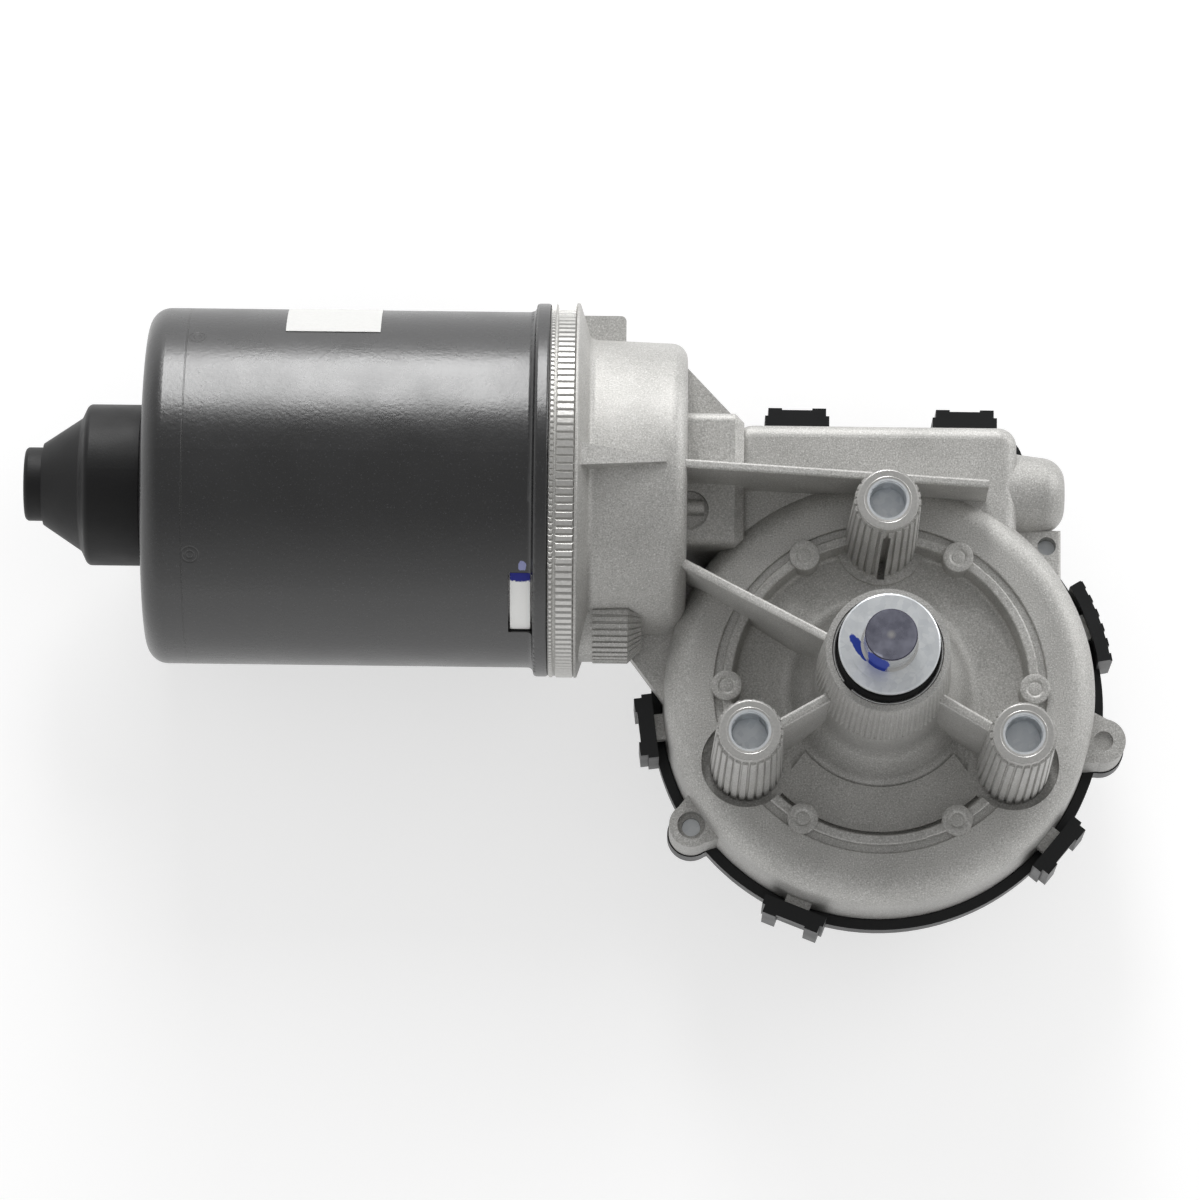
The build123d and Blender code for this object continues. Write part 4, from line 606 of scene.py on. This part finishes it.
bpy.ops.object.select_all(action="DESELECT")
bpy.ops.mesh.primitive_circle_add(
    vertices=4,
    radius=thread_corner * MM,
    location=(thread_r * MM, 0, thread_foot * MM),
    rotation=(math.pi / 2, 0, 0),
)
thread = bpy.context.object
bpy.ops.object.transform_apply(location=True, rotation=True, scale=True)
climb = thread.modifiers.new("climb", "SCREW")
climb.axis = "Z"
climb.angle = 2 * math.pi * thread_turns
climb.screw_offset = thread_pitch * thread_turns * MM
climb.steps = thread_steps
climb.render_steps = thread_steps
bpy.ops.object.modifier_apply(modifier="climb")
bpy.ops.object.mode_set(mode="EDIT")
bpy.ops.mesh.select_all(action="SELECT")
bpy.ops.mesh.normals_make_consistent(inside=False)
bpy.ops.object.mode_set(mode="OBJECT")
for piece in copy_to_spots(thread, "insert_thread", post_spots, 0.0):
    settle(piece, slot_materials["zinc_plate"])

# %% [markdown]
# ### Coated paper
# The label is coated paper, bright and without gloss, so it stays one even white where the can mirrors the
# studio. Fibres under the coating make it very slightly cloudy.

# %% Coated paper
fibre_mm = 0.7


def coated_paper():
    material, tree, shader, where = new_material("coated paper", "#dcdcda", 0.55)
    fibres = {"Vector": where, "Scale": scale(fibre_mm), "Detail": 3.0, "Roughness": 0.55}
    fibre = add_node(tree, "TexNoise", fibres)
    white = add_node(tree, "Mix", {0: fibre, 6: linear("#d6d6d4"), 7: linear("#e2e2e0")}, 2, data_type="RGBA")
    relief = add_node(tree, "Bump", {"Strength": 1.0, "Distance": 0.01 * MM, "Height": fibre})
    feed(shader, {"Base Color": white, "Normal": relief})
    return material


keep("label_paper", coated_paper())

# %% [markdown]
# ### Paper label
# A plain white sticker wraps the upper side of the can. A flat sheet could be bent round it, but a strip of
# tube is round from the start. It is cut to length by the angle of its faces and given paper's thickness.

# %% Paper label
label_x, label_angles = (-128.4, -108.1), (6.5, 42.5)
label_gap, paper_thickness = 0.05, 0.1
sides_round_can = 360


def angle_about_motor(point):
    """Angle of a point round the motor axis, in degrees from +Y toward +Z."""
    return math.degrees(math.atan2(point[2] - motor_z * MM, point[1] - motor_y * MM)) % 360


label = round_motor("can_label", *label_x, can_r + label_gap, sides_round_can)
pick_faces(label, lambda face: not label_angles[0] < angle_about_motor(face.center) < label_angles[1])
bpy.ops.mesh.delete(type="FACE")
bpy.ops.object.mode_set(mode="OBJECT")
thick = label.modifiers.new("thickness", "SOLIDIFY")
thick.thickness = paper_thickness * MM
thick.offset = 1.0
bpy.ops.object.modifier_apply(modifier="thickness")
bpy.ops.object.shade_smooth_by_angle(angle=math.radians(20))
settle(label, slot_materials["label_paper"])

# %% [markdown]
# ## Studio
# ### Floor
# The part lies on a white sheet. More light on a pale floor would also fall on the part, so the floor itself
# glows a little, and only for rays from the camera and for those that metal or glass sends on. The light
# that falls on the part stays plain, and the part's shadow still shows.

# %% Floor
floor_size, floor_gap, floor_glow = 6.0, 0.0005, 0.56

lowest = bounds_at_start[0][2]
bpy.ops.mesh.primitive_plane_add(size=floor_size, location=(0, 0, lowest - floor_gap))
floor = bpy.context.object
floor.name = "floor"
floor_material, floor_tree, floor_shader = new_material("pale floor", "#c8c8c8", 0.9, specular=0.1)[:3]
from_camera = add_node(floor_tree, "LightPath", {}, "Is Camera Ray")
seen = from_camera
for kind in ("Is Glossy Ray", "Is Transmission Ray"):
    sent_on = from_camera.node.outputs[kind]
    seen = add_node(floor_tree, "Math", {0: seen, 1: sent_on}, operation="MAXIMUM")
glow = add_node(floor_tree, "MapRange", {0: seen, 1: 0.0, 2: 1.0, 3: 0.0, 4: floor_glow})
feed(floor_shader, {"Emission Color": linear("#ffffff"), "Emission Strength": glow})
floor.data.materials.append(floor_material)
print("floor at z", round(lowest / MM, 1), "mm")

# %% [markdown]
# ### Air
# The air is white near the horizon and grey overhead, as in a light tent with an open top. Faces that look up
# stay darker than faces that look aside, which gives the casting its relief. Two ranges over the height of
# the direction are multiplied: one takes the white off above the horizon, the other darkens the top.

# %% Air
world = bpy.data.worlds.new("studio air")
world.use_nodes = True
air_tree = world.node_tree
direction = add_node(air_tree, "TexCoord", {}, "Generated")
height = add_node(air_tree, "SeparateXYZ", {"Vector": direction}, "Z")
above_horizon = add_node(air_tree, "MapRange", {0: height, 1: 0.05, 2: 0.25, 3: 1.06, 4: 0.78})
open_top = add_node(air_tree, "MapRange", {0: height, 1: 0.35, 2: 0.9, 3: 1.0, 4: 0.47})
strength = add_node(air_tree, "Math", {0: above_horizon, 1: open_top}, operation="MULTIPLY")
feed(air_tree.nodes["Background"], {"Color": linear("#ffffff"), "Strength": strength})
bpy.context.scene.world = world
print(world.name, len(air_tree.nodes), "nodes")

# %% [markdown]
# ### Soft panels
# A black can shows its form only by what it mirrors. A tall panel behind the part draws the bright band
# along it, and a weaker one lights the gear end. Area lights give soft edges, and each is turned to look at
# its target, which is easier to set than three angles.

# %% Soft panels
def soft_panel(name, place, target, width, height, power):
    """Rectangular area light that faces a target. Sizes and places are in metres, power in watts."""
    bpy.ops.object.light_add(type="AREA", location=place)
    light = bpy.context.object
    light.name = name
    light.data.shape = "RECTANGLE"
    light.data.size = width
    light.data.size_y = height
    light.data.energy = power
    aim = Vector(target) - Vector(place)
    light.rotation_euler = aim.to_track_quat("-Z", "Y").to_euler()
    print(name, width, "by", height, "m,", power, "W")


soft_panel("panel behind", (-0.15, 1.08, 0.51), (-0.12, 0.045, -0.04), width=0.36, height=0.88, power=8.0)
soft_panel("panel at the gear end", (0.95, 0.65, 0.4), (0, 0, -0.04), width=0.6, height=0.6, power=3.8)

# %% [markdown]
# ### Camera
# It looks down on the part from a little in front, through a long lens, so the posts stay nearly parallel.
# Its place, its two directions and its lens were fitted to the posts, the pips and the edges of the can and
# drum. They are given as directions, because angles would hide which way the picture's top points.

# %% Camera
camera_place = (-0.052888, -0.270894, 1.451449)
picture_right = Vector((0.9999172, 0.0126063, -0.0025703))
picture_up = Vector((-0.0118857, 0.9816097, 0.1905285))
lens_mm, sensor_mm = 212.15, 36.0

camera_data = bpy.data.cameras.new("camera")
camera_data.sensor_width = sensor_mm
camera_data.lens = lens_mm
camera_data.clip_start = 0.1
camera_data.clip_end = 20.0
camera = bpy.data.objects.new("camera", camera_data)
bpy.context.scene.collection.objects.link(camera)
axes = Matrix((picture_right, picture_up, picture_right.cross(picture_up))).transposed().to_4x4()
camera.matrix_world = Matrix.Translation(camera_place) @ axes
bpy.context.scene.camera = camera
bpy.context.scene.view_settings.view_transform = "Standard"
print("camera with a", lens_mm, "mm lens")
